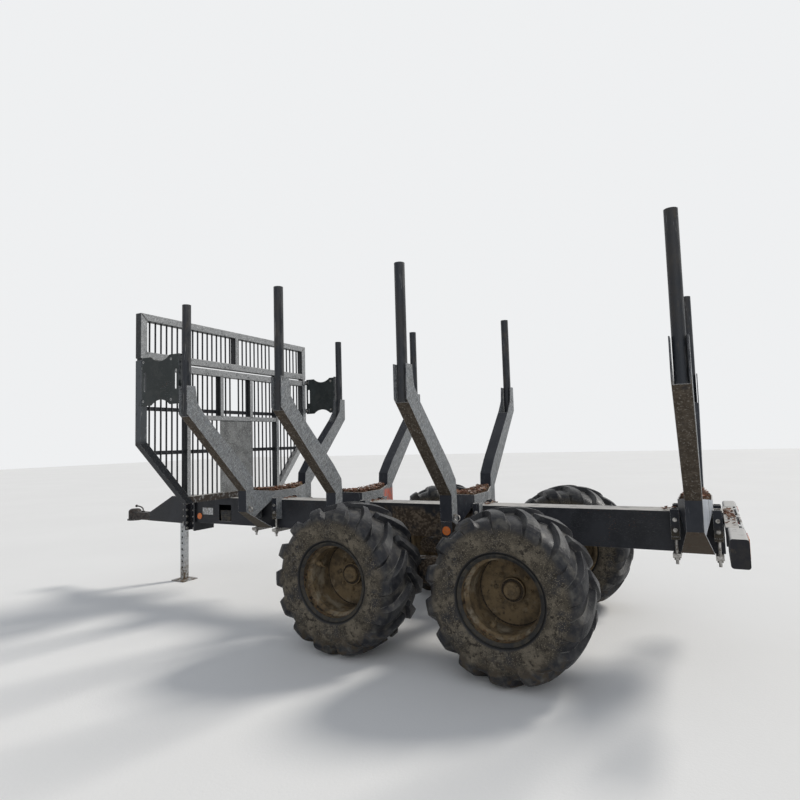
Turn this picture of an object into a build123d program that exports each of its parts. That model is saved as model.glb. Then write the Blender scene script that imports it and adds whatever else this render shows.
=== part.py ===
from build123d import *
import math
import os

os.makedirs("parts", exist_ok=True)

# Forestry trailer on a tandem bogie, millimetres.
# X runs forward to the coupling, Y to the left side, Z up.
# Sizes are drawn with X from the bogie's centre and Z from the ground.

# Tyres and rims
TYRE_RADIUS = 586.0
TYRE_WIDTH = 600.0
TYRE_WALL = 24.0
CROWN_WALL = 33.0
BELLY_SET = 9.0
BELLY_DROP = 143.0
BEAD_LENGTH = 38.0
BEAD_RADIUS = 285.0
BEAD_CLEARANCE = 0.3
RIM_WIDTH = 510.0
RIM_WALL = 9.0
RIM_FLANGE_RADIUS = 305.0
RIM_FLANGE_WIDTH = 12.0
RIM_SEAT_WIDTH = 55.0
RIM_WELL_RADIUS = 262.0
RIM_WELL_SLOPE = 30.0
DISC_THICKNESS = 16.0
DISC_INSET = 70.0
HALF_TRACK = 975.0
WHEELBASE = 1366.0

# Tread lugs, each with a station at the tread's middle, bend and shoulder
# Leads and half widths are measured round the tyre, sets from its side, drops from its radius
LUG_COUNT = 14
LUG_HEIGHT = 45.0
LUG_LEADS = (215.0, 56.0, 22.0)
LUG_TOP_HALVES = (24.0, 45.0, 54.0)
LUG_FOOT_HALVES = (36.0, 75.0, 88.0)
LUG_START = 4.0
LUG_BEND_SET = 100.0
LUG_BEND_DROP = 12.0
LUG_BEND_FOOT_SET = 115.0
LUG_BEND_FOOT_DROP = 10.0
LUG_SHOULDER_SET = 32.0
LUG_SHOULDER_DROP = 48.0
LUG_SHOULDER_FOOT_SET = 50.0
LUG_SHOULDER_FOOT_DROP = 46.0
LUG_END_SET = 16.0
LUG_END_DROP = 104.0
FRONT_TYRE_TURN = 77.5
REAR_TYRE_TURN = 69.0

# Hubs and stub axles
HUB_RADIUS = 105.0
HUB_LENGTH = 95.0
HUB_FLANGE_RADIUS = 165.0
HUB_FLANGE_THICKNESS = 18.0
HUB_NOSE_RADIUS = 88.0
HUB_NOSE_LENGTH = 34.0
HUB_CAP_RADIUS = 62.0
HUB_CAP_LENGTH = 26.0
HUB_CAP_EDGE = 8.0
STUB_RADIUS = 38.0
STUB_CLEARANCE = 0.3
STUB_END_GAP = 6.0
STUB_END = 22.0
HUB_END_GAP = 6.0
AXLE_RADIUS = 58.0

# Bogie
BOGIE_BEAM_HEIGHT = 220.0
BOGIE_BEAM_END_HEIGHT = 150.0
BOGIE_BEAM_WIDTH = 130.0
BOGIE_BEAM_WALL = 14.0
BOGIE_TYRE_GAP = 60.0
BOGIE_TUBE_RADIUS = 80.0
BOGIE_TUBE_WALL = 14.0
BOGIE_COLLAR_RADIUS = 100.0
BOGIE_COLLAR_LENGTH = 30.0
SADDLE_LENGTH = 190.0
SADDLE_WIDTH = 340.0
SADDLE_TOP = 25.0
SADDLE_WEB = 20.0
SADDLE_WEB_Y = 95.0

# Main beam
BEAM_TOP = 1080.0
BEAM_DEPTH = 300.0
BEAM_WIDTH = 250.0
BEAM_WALL = 10.0
BEAM_REAR = -2035.0
BEAM_FRONT = 3400.0
POCKET_SET = 560.0
POCKET_LENGTH = 190.0
POCKET_FLOOR_RISE = 35.0
POCKET_HEIGHT = 185.0
CHOCK_SIDE_GAP = 14.0
CHOCK_TAPER = 14.0
CHOCK_THICKNESS = 60.0
CHOCK_HEIGHT = 145.0

# Bolted drawbar bracket and drawbar
FLANGE_THICKNESS = 22.0
FLANGE_MARGIN = 24.0
FLANGE_DROP = 95.0
BRACKET_LENGTH = 165.0
BRACKET_WEB = 25.0
DRAWBAR_LENGTH = 720.0
DRAWBAR_SHOULDER = 270.0
DRAWBAR_NOSE_HEIGHT = 105.0
DRAWBAR_NOSE_WIDTH = 150.0
DRAWBAR_WALL = 12.0
DRAWBAR_LIFT = 18.0

# Ball coupling
COUPLING_PLATE = 25.0
COUPLING_NECK_LENGTH = 355.0
COUPLING_NECK_WIDTH = 110.0
COUPLING_NECK_HEIGHT = 92.0
COUPLING_HEAD_RADIUS = 78.0
COUPLING_HEAD_HEIGHT = 145.0
COUPLING_HEAD_ROUND = 40.0
COUPLING_BALL_RADIUS = 40.0
COUPLING_MOUTH = 45.0
COUPLING_LIP_RADIUS = 92.0
COUPLING_LIP_HEIGHT = 16.0

# Parking jack
JACK_SET = 395.0
JACK_TUBE = 70.0
JACK_WALL = 6.0
JACK_CLEARANCE = 0.3
JACK_SLEEVE_WALL = 8.0
JACK_SLEEVE_HEIGHT = 330.0
JACK_SLEEVE_DROP = 20.0
JACK_LUG_HEIGHT = 160.0
JACK_OFFSET = 20.0
JACK_LEG_TOP = 1150.0
JACK_FOOT = 220.0
JACK_FOOT_THICKNESS = 14.0
JACK_PIN_RADIUS = 11.0
JACK_PIN_DEPTH = 60.0
JACK_PIN_HEAD = 20.0

# Bunks, from front to rear
BUNK_X = (2270.0, 1160.0, -10.0, -1856.0)
HALF_WIDTH = 1290.0
PLATE = 8.0
ARM_WIDTH = 110.0
TROUGH_WIDTH = 230.0
TROUGH_MARGIN = 55.0
TROUGH_RISE = 96.0
NOTCH_MARGIN = 87.0
LEG_OUTER = 540.0
LEG_WIDTH = 110.0
LEG_DROP = 90.0
LEG_RISE = 125.0
ARM_FOOT_LEAN = 10.0
ARM_FOOT_RISE = 125.0
ARM_BEND_OUT = 15.0
ARM_BEND_RISE = 260.0
ARM_HEAD_INSET = 210.0
ARM_HEAD_DROP = 5.0
SOCKET_KNEE = 1975.0
SOCKET_RISE = 260.0
SOCKET_DEPTH = 100.0
SOCKET_WAIST_INSET = 122.0
SOCKET_WAIST_RISE = 105.0
SEAT_DROP = 25.0
BOTTOM_MARGIN = 75.0
BOTTOM_LIFT = 5.0

# Stake poles
POLE_RADIUS = 40.0
POLE_WALL = 6.0
POLE_TOP = 3000.0
POLE_INSET = 45.0

# Bunk clamps and the hangers that hold them
CLAMP_X = 140.0
CLAMP_OFFSET = 57.0
CLAMP_ROD_RADIUS = 11.0
CLAMP_ROD_CLEARANCE = 1.0
CLAMP_ROD_TAIL = 48.0
CLAMP_NUT_RADIUS = 20.0
CLAMP_NUT_HEIGHT = 18.0
CLAMP_BAR_WIDTH = 54.0
CLAMP_BAR_DEPTH = 34.0
CLAMP_BAR_END = 42.0
CLAMP_BAR_CHAMFER = 14.0
HANGER_WIDTH = 60.0
HANGER_REACH = 32.0
HANGER_RISE = 24.0
HANGER_DROP = 200.0
HANGER_PLATE = 8.0
HANGER_EAR = 20.0
HANGER_COVER_RISE = 25.0
BEAM_SIDE_CLEARANCE = 0.3

# Headboard
HEAD_X = 2855.0
HEAD_DEPTH = 80.0
HEAD_TUBE = 70.0
HEAD_WALL = 4.0
HEAD_TOP = 3000.0
HEAD_SPLIT = 2550.0
HEAD_GAP = 23.0
HEAD_KNEE = 1700.0
HEAD_FOOT_HALF = 735.0
HEAD_MID_Z = 1985.0
HEAD_MID_HEIGHT = 50.0
HEAD_POST_WIDTH = 45.0
HEAD_INNER_POST_Y = 236.0
HEAD_OUTER_POST_Y = 705.0
CENTRE_PLATE = 6.0
CENTRE_PLATE_SET = 8.0
BAR_RADIUS = 9.0
BAR_PITCH = 68.0
BAR_SET = 50.0
BACK_RAIL_Z = (2060.0, 1620.0)
BACK_RAIL_HEIGHT = 40.0
BACK_RAIL_DEPTH = 12.0

# Side plates between the headboard and the first bunk
SIDE_PLATE = 8.0
SIDE_PLATE_HEIGHT = 470.0
SIDE_PLATE_DROP = 5.0
SIDE_PLATE_GAP = 18.0
SIDE_SCOOP = 50.0
SIDE_SLOT_WIDTH = 30.0
SIDE_SLOT_HEIGHT = 190.0
SIDE_SLOT_EDGE = 40.0
SIDE_FLANGE = 80.0
SIDE_FLANGE_DROP = 85.0
SIDE_TAB = 10.0
SIDE_TAB_LENGTH = 64.0
SIDE_TAB_HEIGHT = 56.0
SIDE_TAB_INSET = 44.0
CUT_MARGIN = 1.0

# Rear light bar, lamps and guard
LIGHT_BAR_DEPTH = 80.0
LIGHT_BAR_HEIGHT = 50.0
LIGHT_BAR_HALF = 600.0
LIGHT_BAR_DROP = 37.0
LIGHT_BAR_WALL = 5.0
LIGHT_BAR_END_PLATE = 12.0
LIGHT_BAR_END_HEIGHT = 125.0
LAMP_WIDTH = 460.0
LAMP_HEIGHT = 171.0
LAMP_DEPTH = 102.0
LAMP_SET = 10.0
LAMP_CORNER = 18.0
LENS_WIDTH = 250.0
LENS_MARGIN = 25.0
LENS_THICKNESS = 9.0
GUARD_GAP = 14.0
GUARD_DEPTH = 14.0
GUARD_HEIGHT = 40.0
GUARD_HALF = 575.0
GUARD_SPACER_HALF = 30.0
GUARD_SPACER_Y = (-480.0, 0.0, 480.0)

# Side reflectors
REFLECTOR_RADIUS = 36.0
REFLECTOR_THICKNESS = 9.0
BEAM_REFLECTOR_SET = 66.0
BEAM_REFLECTOR_RISE = 80.0
BUNK_REFLECTOR_DROP = 78.0
REFLECTOR_PLATE = 6.0
REFLECTOR_PLATE_HALF = 48.0
REFLECTOR_PLATE_DROP = 125.0

# Places that follow from the sizes above
AXLE_Z = TYRE_RADIUS
BEAM_BOTTOM = BEAM_TOP - BEAM_DEPTH
HALF_BEAM = BEAM_WIDTH / 2
POCKET_REAR = BEAM_FRONT - POCKET_SET
BRACKET_FRONT = BEAM_FRONT + BRACKET_LENGTH
DRAWBAR_FRONT = BRACKET_FRONT + DRAWBAR_LENGTH
DRAWBAR_BOTTOM = BEAM_BOTTOM - DRAWBAR_LIFT
COUPLING_X = DRAWBAR_FRONT + COUPLING_PLATE + COUPLING_NECK_LENGTH
COUPLING_FRONT = COUPLING_X + COUPLING_LIP_RADIUS
JACK_X = BRACKET_FRONT + JACK_SET
JACK_SLEEVE_HALF = JACK_TUBE / 2 + JACK_CLEARANCE + JACK_SLEEVE_WALL
JACK_Y = -(HALF_BEAM + JACK_SLEEVE_HALF + JACK_OFFSET)
JACK_SLEEVE_BOTTOM = DRAWBAR_BOTTOM - JACK_SLEEVE_DROP
JACK_SLEEVE_TOP = JACK_SLEEVE_BOTTOM + JACK_SLEEVE_HEIGHT
JACK_PIN_Z = JACK_SLEEVE_TOP - JACK_PIN_DEPTH
LIGHT_BAR_REAR = BEAM_REAR - LIGHT_BAR_DEPTH
LIGHT_BAR_TOP = BEAM_TOP - LIGHT_BAR_DROP
LIGHT_BAR_BOTTOM = LIGHT_BAR_TOP - LIGHT_BAR_HEIGHT
LAMP_INNER_Y = LIGHT_BAR_HALF + LIGHT_BAR_END_PLATE
LAMP_FRONT = BEAM_REAR - LAMP_SET
LAMP_BOTTOM = LIGHT_BAR_TOP - LAMP_HEIGHT
LAMP_REAR = LAMP_FRONT - LAMP_DEPTH - LENS_THICKNESS
MIDDLE_X = (COUPLING_FRONT + LAMP_REAR) / 2
TROUGH_BEND = HALF_BEAM + TROUGH_MARGIN
NOTCH_HALF = HALF_BEAM + NOTCH_MARGIN
BOTTOM_INNER_Y = HALF_BEAM + BOTTOM_MARGIN
LEG_INNER = LEG_OUTER - LEG_WIDTH
LEG_TOP = BEAM_TOP + LEG_RISE
ARM_OUTER_LINE = ((LEG_OUTER, LEG_TOP), (HALF_WIDTH, SOCKET_KNEE))
ARM_INNER_LINE = ((LEG_OUTER + ARM_BEND_OUT, LEG_TOP + ARM_BEND_RISE),
                  (HALF_WIDTH - ARM_HEAD_INSET, SOCKET_KNEE - ARM_HEAD_DROP))
ARM_FOOT = (LEG_INNER + ARM_FOOT_LEAN, LEG_TOP + ARM_FOOT_RISE)
SOCKET_TOP = SOCKET_KNEE + SOCKET_RISE
SEAT_Z = SOCKET_KNEE - SEAT_DROP
CLAMP_Y = HALF_BEAM + CLAMP_OFFSET
HANGER_BOTTOM = BEAM_TOP - HANGER_DROP
SIDE_PLATE_TOP = HEAD_SPLIT - SIDE_PLATE_DROP
SIDE_PLATE_BOTTOM = SIDE_PLATE_TOP - SIDE_PLATE_HEIGHT
SIDES = (("left", 1), ("right", -1))
AXLES = (("front", WHEELBASE / 2, FRONT_TYRE_TURN), ("rear", -WHEELBASE / 2, REAR_TYRE_TURN))
BASE = (Align.CENTER, Align.CENTER, Align.MIN)


def block(x0, x1, y0, y1, z0, z1):
    """A box given by its limits along each axis."""
    centre = ((x0 + x1) / 2, (y0 + y1) / 2, (z0 + z1) / 2)
    return Pos(*centre) * Box(abs(x1 - x0), abs(y1 - y0), abs(z1 - z0))


def sheet_x(outline, x0, x1):
    """A plate with a (y, z) outline between two X stations."""
    face = make_face(Polyline([(x0, y, z) for y, z in outline], close=True))
    return extrude(face, amount=x1 - x0, dir=(1, 0, 0))


def sheet_y(outline, y0, y1):
    """A plate with an (x, z) outline between two Y stations."""
    face = make_face(Polyline([(x, y0, z) for x, z in outline], close=True))
    return extrude(face, amount=y1 - y0, dir=(0, 1, 0))


def sheet_z(outline, z0, z1):
    """A plate with an (x, y) outline between two heights."""
    face = make_face(Polyline([(x, y, z0) for x, y in outline], close=True))
    return extrude(face, amount=z1 - z0, dir=(0, 0, 1))


def round_bar(radius, start, end):
    """A round bar between two points."""
    way = Vector(*end) - Vector(*start)
    return extrude(Plane(origin=start, z_dir=way) * Circle(radius), amount=way.length)


def turned(profile):
    """A ring turned about the Y axis from a (radius, y) profile."""
    face = make_face(Polyline([(r, y, 0) for r, y in profile], close=True))
    return revolve(face, axis=Axis.Y)


def both_sides(half):
    """A (y, z) outline closed by its mirror image."""
    return half + [(-y, z) for y, z in reversed(half) if y != 0]


def save(shape, name):
    """Writes one node, moved so that the origin is under the middle."""
    export_step(Pos(-MIDDLE_X, 0, 0) * shape, "parts/" + name + ".step")


# Main beam: a box girder with a chock pocket in its left wall
def main_beam():
    outer = block(BEAM_REAR, BEAM_FRONT, -HALF_BEAM, HALF_BEAM, BEAM_BOTTOM, BEAM_TOP)
    inner = block(BEAM_REAR + BEAM_WALL, BEAM_FRONT - BEAM_WALL,
                  BEAM_WALL - HALF_BEAM, HALF_BEAM - BEAM_WALL,
                  BEAM_BOTTOM + BEAM_WALL, BEAM_TOP - BEAM_WALL)
    pocket_z = BEAM_BOTTOM + POCKET_FLOOR_RISE
    pocket = block(POCKET_REAR, POCKET_REAR + POCKET_LENGTH, 0, BEAM_WIDTH,
                   pocket_z, pocket_z + POCKET_HEIGHT)
    return outer - inner - pocket


def wheel_chock():
    """A wedge standing inside the beam, behind the pocket's opening."""
    x0 = POCKET_REAR + CHOCK_SIDE_GAP
    x1 = POCKET_REAR + POCKET_LENGTH - CHOCK_SIDE_GAP
    z0 = BEAM_BOTTOM + BEAM_WALL
    wall = HALF_BEAM - BEAM_WALL
    z1 = z0 + CHOCK_HEIGHT
    outline = [(x0 + CHOCK_TAPER, z0), (x1 - CHOCK_TAPER, z0), (x1, z1), (x0, z1)]
    return sheet_y(outline, wall - CHOCK_THICKNESS, wall)


# Drawbar bracket: two flanges and two webs in front of the beam
def drawbar_bracket():
    half = HALF_BEAM + FLANGE_MARGIN
    z0 = BEAM_BOTTOM - FLANGE_DROP
    bracket = block(BEAM_FRONT, BEAM_FRONT + FLANGE_THICKNESS, -half, half, z0, BEAM_TOP)
    bracket += block(BRACKET_FRONT - FLANGE_THICKNESS, BRACKET_FRONT, -half, half, z0, BEAM_TOP)
    for side in (1, -1):
        y = side * HALF_BEAM / 2
        bracket += block(BEAM_FRONT, BRACKET_FRONT, y - BRACKET_WEB / 2, y + BRACKET_WEB / 2, z0, BEAM_TOP)
    return bracket


# Drawbar: a tapered box behind the coupling
def drawbar_side(wall):
    """Side outline of the drawbar, drawn in by the wall."""
    x1 = DRAWBAR_FRONT - wall
    return [(BRACKET_FRONT, DRAWBAR_BOTTOM + wall), (x1, DRAWBAR_BOTTOM + wall),
            (x1, DRAWBAR_BOTTOM + DRAWBAR_NOSE_HEIGHT - wall),
            (BRACKET_FRONT + DRAWBAR_SHOULDER, BEAM_TOP - wall), (BRACKET_FRONT, BEAM_TOP - wall)]


def drawbar_plan(wall):
    """Plan outline of the drawbar, drawn in by the wall."""
    tail = HALF_BEAM - wall
    nose = DRAWBAR_NOSE_WIDTH / 2 - wall
    return [(BRACKET_FRONT, -tail), (DRAWBAR_FRONT, -nose), (DRAWBAR_FRONT, nose), (BRACKET_FRONT, tail)]


def drawbar_body(wall):
    return sheet_y(drawbar_side(wall), -BEAM_WIDTH, BEAM_WIDTH) & sheet_z(drawbar_plan(wall), 0, BEAM_TOP)


def drawbar():
    half = HALF_BEAM + FLANGE_MARGIN
    flange = block(BRACKET_FRONT, BRACKET_FRONT + FLANGE_THICKNESS, -half, half,
                   DRAWBAR_BOTTOM - FLANGE_MARGIN, BEAM_TOP)
    return drawbar_body(0) - drawbar_body(DRAWBAR_WALL) + flange


# Ball coupling: a cup for a towing ball on a neck and a bolted plate
def ball_coupling():
    half_plate = DRAWBAR_NOSE_WIDTH / 2
    half_neck = COUPLING_NECK_WIDTH / 2
    plate = block(DRAWBAR_FRONT, DRAWBAR_FRONT + COUPLING_PLATE, -half_plate, half_plate,
                  DRAWBAR_BOTTOM, DRAWBAR_BOTTOM + DRAWBAR_NOSE_HEIGHT)
    neck = block(DRAWBAR_FRONT + COUPLING_PLATE, COUPLING_X, -half_neck, half_neck,
                 DRAWBAR_BOTTOM, DRAWBAR_BOTTOM + COUPLING_NECK_HEIGHT)
    place = Pos(COUPLING_X, 0, DRAWBAR_BOTTOM - COUPLING_LIP_HEIGHT)
    head = Cylinder(COUPLING_HEAD_RADIUS, COUPLING_HEAD_HEIGHT, align=BASE)
    head = fillet(head.edges().group_by(Axis.Z)[-1], COUPLING_HEAD_ROUND)
    lip = Cylinder(COUPLING_LIP_RADIUS, COUPLING_LIP_HEIGHT, align=BASE)
    mouth = Cylinder(COUPLING_BALL_RADIUS, COUPLING_MOUTH, align=BASE)
    seat = Pos(0, 0, COUPLING_MOUTH) * Sphere(COUPLING_BALL_RADIUS)
    return plate + neck + place * (head + lip) - place * (mouth + seat)


# Parking jack: a square leg pinned in a sleeve on the drawbar's right side
def square_tube(half, z0, z1):
    return block(JACK_X - half, JACK_X + half, JACK_Y - half, JACK_Y + half, z0, z1)


def jack_pin_bar(radius, reach):
    return round_bar(radius, (JACK_X, JACK_Y - reach, JACK_PIN_Z), (JACK_X, JACK_Y + reach, JACK_PIN_Z))


def jack_sleeve():
    half = JACK_SLEEVE_HALF
    lug = block(JACK_X - half, JACK_X + half, JACK_Y, 0, DRAWBAR_BOTTOM, DRAWBAR_BOTTOM + JACK_LUG_HEIGHT)
    bore = square_tube(JACK_TUBE / 2 + JACK_CLEARANCE, JACK_SLEEVE_BOTTOM, JACK_SLEEVE_TOP)
    hole = jack_pin_bar(JACK_PIN_RADIUS + JACK_CLEARANCE, 2 * half)
    sleeve = square_tube(half, JACK_SLEEVE_BOTTOM, JACK_SLEEVE_TOP)
    return sleeve + (lug - drawbar_body(0)) - bore - hole


def jack_leg():
    half = JACK_TUBE / 2
    tube = square_tube(half, JACK_FOOT_THICKNESS, JACK_LEG_TOP)
    tube -= square_tube(half - JACK_WALL, JACK_FOOT_THICKNESS, JACK_LEG_TOP)
    foot = square_tube(JACK_FOOT / 2, 0, JACK_FOOT_THICKNESS)
    return tube + foot - jack_pin_bar(JACK_PIN_RADIUS + JACK_CLEARANCE, JACK_TUBE)


def jack_pin():
    reach = JACK_SLEEVE_HALF + JACK_PIN_HEAD
    return jack_pin_bar(JACK_PIN_RADIUS, reach)


# Bunk: bent side plates, closed arms, sloped bottom plates and clamp hangers
def bottom_z(y):
    """Underside of the sloped bottom plate at a distance from the middle."""
    z_inner = BEAM_BOTTOM + BOTTOM_LIFT
    z_outer = BEAM_TOP - LEG_DROP
    return z_inner + (z_outer - z_inner) * (y - BOTTOM_INNER_Y) / (LEG_OUTER - BOTTOM_INNER_Y)


def line_y(start, end, z):
    """Y at a height on the line between two (y, z) points."""
    return start[0] + (end[0] - start[0]) * (z - start[1]) / (end[1] - start[1])


def side_plate_outline():
    """Outline of the bunk's front and rear plates."""
    half = [(0, BEAM_TOP), (NOTCH_HALF, BEAM_TOP), (LEG_INNER, bottom_z(LEG_INNER)),
            (LEG_OUTER, bottom_z(LEG_OUTER)), *ARM_OUTER_LINE,
            (HALF_WIDTH, SOCKET_TOP), (HALF_WIDTH - SOCKET_DEPTH, SOCKET_TOP),
            (HALF_WIDTH - SOCKET_WAIST_INSET, SOCKET_KNEE + SOCKET_WAIST_RISE),
            *reversed(ARM_INNER_LINE), ARM_FOOT, (LEG_INNER, LEG_TOP),
            (TROUGH_BEND, BEAM_TOP + TROUGH_RISE), (0, BEAM_TOP + TROUGH_RISE)]
    return both_sides(half)


def arm_outline():
    """Outline of one closed arm with its leg, from the leg's bottom to the pole's seat."""
    return [(LEG_INNER, bottom_z(LEG_INNER)), (LEG_OUTER, bottom_z(LEG_OUTER)), ARM_OUTER_LINE[0],
            (line_y(*ARM_OUTER_LINE, SEAT_Z), SEAT_Z), (line_y(*ARM_INNER_LINE, SEAT_Z), SEAT_Z),
            ARM_INNER_LINE[0], ARM_FOOT, (LEG_INNER, LEG_TOP)]


def trough_plan(inset):
    """Plan of the bunk's skin, wide over the beam and narrow at the legs and arms."""
    wide = TROUGH_WIDTH / 2 - inset
    narrow = ARM_WIDTH / 2 - inset
    front = [(narrow, HALF_WIDTH), (narrow, LEG_INNER), (wide, TROUGH_BEND),
             (wide, -TROUGH_BEND), (narrow, -LEG_INNER), (narrow, -HALF_WIDTH)]
    return front + [(-x, y) for x, y in reversed(front)]


def side_plates():
    outer = sheet_z(trough_plan(0), BEAM_BOTTOM, SOCKET_TOP)
    inner = sheet_z(trough_plan(PLATE), BEAM_BOTTOM, SOCKET_TOP)
    return (outer - inner) & sheet_x(side_plate_outline(), -TROUGH_WIDTH, TROUGH_WIDTH)


def arm_walls(side):
    """Outer wall, inner wall and seat of one arm, between the side plates."""
    half = ARM_WIDTH / 2 - PLATE
    outline = [(side * y, z) for y, z in arm_outline()]
    face = make_face(Polyline([(-half, y, z) for y, z in outline], close=True))
    core = offset(face, -PLATE, kind=Kind.INTERSECTION)
    way = (1, 0, 0)
    return extrude(face, amount=2 * half, dir=way) - extrude(core, amount=2 * half, dir=way)


def bottom_plate(side):
    inner = CLAMP_X - HANGER_WIDTH / 2
    outer = ARM_WIDTH / 2
    strip = [(BOTTOM_INNER_Y, bottom_z(BOTTOM_INNER_Y)), (LEG_OUTER, bottom_z(LEG_OUTER)),
             (LEG_OUTER, bottom_z(LEG_OUTER) + PLATE), (BOTTOM_INNER_Y, bottom_z(BOTTOM_INNER_Y) + PLATE)]
    plan = [(-inner, BOTTOM_INNER_Y), (inner, BOTTOM_INNER_Y), (outer, LEG_OUTER), (-outer, LEG_OUTER)]
    plate = sheet_x([(side * y, z) for y, z in strip], -inner, inner)
    return plate & sheet_z([(x, side * y) for x, y in plan], BEAM_BOTTOM, BEAM_TOP)


def trough_floor():
    inner = trough_plan(PLATE)
    floor = sheet_z(inner, BEAM_TOP, BEAM_TOP + PLATE)
    return floor & block(-TROUGH_WIDTH, TROUGH_WIDTH, -LEG_INNER, LEG_INNER, BEAM_TOP, BEAM_TOP + PLATE)


def hanger(end, side):
    """A covered channel beside the beam, with an ear for the clamp rod."""
    x0 = end * (CLAMP_X - HANGER_WIDTH / 2)
    x1 = end * (CLAMP_X + HANGER_WIDTH / 2)
    y0 = side * (HALF_BEAM + BEAM_SIDE_CLEARANCE)
    y1 = side * (CLAMP_Y + HANGER_REACH)
    z0 = HANGER_BOTTOM
    z1 = BEAM_TOP + HANGER_RISE
    channel = block(x0, x1, y0, y1, z0, z1)
    channel -= block(x0 + end * HANGER_PLATE, x1 - end * HANGER_PLATE,
                     y0 + side * HANGER_PLATE, y1, z0 + HANGER_EAR, z1)
    channel += block(x0, x1, y1 - side * HANGER_PLATE, y1, z0 + HANGER_COVER_RISE, z1)
    hole = CLAMP_ROD_RADIUS + CLAMP_ROD_CLEARANCE
    return channel - round_bar(hole, (end * CLAMP_X, side * CLAMP_Y, z0), (end * CLAMP_X, side * CLAMP_Y, z1))


def bunk():
    frame = side_plates() + trough_floor()
    for side in (1, -1):
        frame += arm_walls(side) + bottom_plate(side)
        for end in (1, -1):
            frame += hanger(end, side)
    return frame


def hexagon(x, y, z0, height):
    return Pos(x, y, z0) * extrude(RegularPolygon(CLAMP_NUT_RADIUS, 6), amount=height)


def clamp(end):
    """A bar under the beam with two rods and their nuts."""
    x = end * CLAMP_X
    half_y = CLAMP_Y + CLAMP_BAR_END
    z1 = BEAM_BOTTOM
    z0 = z1 - CLAMP_BAR_DEPTH
    cut = CLAMP_BAR_CHAMFER
    outline = [(-half_y, z1), (half_y, z1), (half_y, z0 + cut),
               (half_y - cut, z0), (cut - half_y, z0), (-half_y, z0 + cut)]
    bar = sheet_x(outline, x - CLAMP_BAR_WIDTH / 2, x + CLAMP_BAR_WIDTH / 2)
    ear_top = HANGER_BOTTOM + HANGER_EAR
    for side in (1, -1):
        y = side * CLAMP_Y
        bar += round_bar(CLAMP_ROD_RADIUS, (x, y, z0 - CLAMP_ROD_TAIL), (x, y, ear_top + CLAMP_ROD_TAIL))
        bar += hexagon(x, y, z0 - CLAMP_NUT_HEIGHT, CLAMP_NUT_HEIGHT)
        bar += hexagon(x, y, ear_top, CLAMP_NUT_HEIGHT)
    return bar


def pole_pair():
    pair = []
    for side in (1, -1):
        place = Pos(0, side * (HALF_WIDTH - POLE_INSET), SEAT_Z)
        height = POLE_TOP - SEAT_Z
        tube = Cylinder(POLE_RADIUS, height, align=BASE)
        bore = Cylinder(POLE_RADIUS - POLE_WALL, height - 2 * POLE_WALL, align=BASE)
        pair.append(place * (tube - Pos(0, 0, POLE_WALL) * bore))
    return Compound(children=pair)


# Headboard: two welded frames, round bars, backing rails and a centre plate
def headboard_panel(outline, inset, wall):
    """Solid panel inside an outline, drawn in by an inset and thinned by the wall."""
    face = make_face(Polyline([(HEAD_X + wall, y, z) for y, z in outline], close=True))
    if inset:
        face = offset(face, -inset, kind=Kind.INTERSECTION)
    return extrude(face, amount=HEAD_DEPTH - 2 * wall, dir=(1, 0, 0))


def ring(outline):
    """A closed frame of square tube along an outline, and the space inside it."""
    opening = headboard_panel(outline, HEAD_TUBE, 0)
    core = headboard_panel(outline, HEAD_WALL, HEAD_WALL)
    core -= headboard_panel(outline, HEAD_TUBE - HEAD_WALL, HEAD_WALL)
    return headboard_panel(outline, 0, 0) - opening - core, opening


def member(y0, y1, z0, z1):
    """A closed tube that runs along Y or Z between its limits."""
    wall = HEAD_WALL
    tube = block(HEAD_X, HEAD_X + HEAD_DEPTH, y0, y1, z0, z1)
    return tube - block(HEAD_X + wall, HEAD_X + HEAD_DEPTH - wall, y0 + wall, y1 - wall, z0 + wall, z1 - wall)


def post_limits(y, z0, z1):
    return y - HEAD_POST_WIDTH / 2, y + HEAD_POST_WIDTH / 2, z0, z1


LOWER_TOP = HEAD_SPLIT - HEAD_GAP
UPPER_OUTLINE = both_sides([(HALF_WIDTH, HEAD_SPLIT), (HALF_WIDTH, HEAD_TOP)])
LOWER_OUTLINE = both_sides([(HEAD_FOOT_HALF, BEAM_TOP), (HALF_WIDTH, HEAD_KNEE),
                            (HALF_WIDTH, LOWER_TOP)])
MID_RAIL_BOTTOM = HEAD_MID_Z - HEAD_MID_HEIGHT / 2
MID_RAIL_TOP = HEAD_MID_Z + HEAD_MID_HEIGHT / 2
MID_RAIL_HALF = HEAD_OUTER_POST_Y - HEAD_POST_WIDTH / 2
UPPER_MEMBERS = (post_limits(0, HEAD_SPLIT + HEAD_TUBE, HEAD_TOP - HEAD_TUBE),)
LOWER_MEMBERS = ((-MID_RAIL_HALF, MID_RAIL_HALF, MID_RAIL_BOTTOM, MID_RAIL_TOP),
                 post_limits(-HEAD_INNER_POST_Y, MID_RAIL_TOP, LOWER_TOP - HEAD_TUBE),
                 post_limits(HEAD_INNER_POST_Y, MID_RAIL_TOP, LOWER_TOP - HEAD_TUBE),
                 post_limits(-HEAD_OUTER_POST_Y, BEAM_TOP + HEAD_TUBE, LOWER_TOP - HEAD_TUBE),
                 post_limits(HEAD_OUTER_POST_Y, BEAM_TOP + HEAD_TUBE, LOWER_TOP - HEAD_TUBE))


def welded_frame(outline, members):
    frame = ring(outline)[0]
    for limits in members:
        frame += member(*limits)
    return frame


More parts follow.
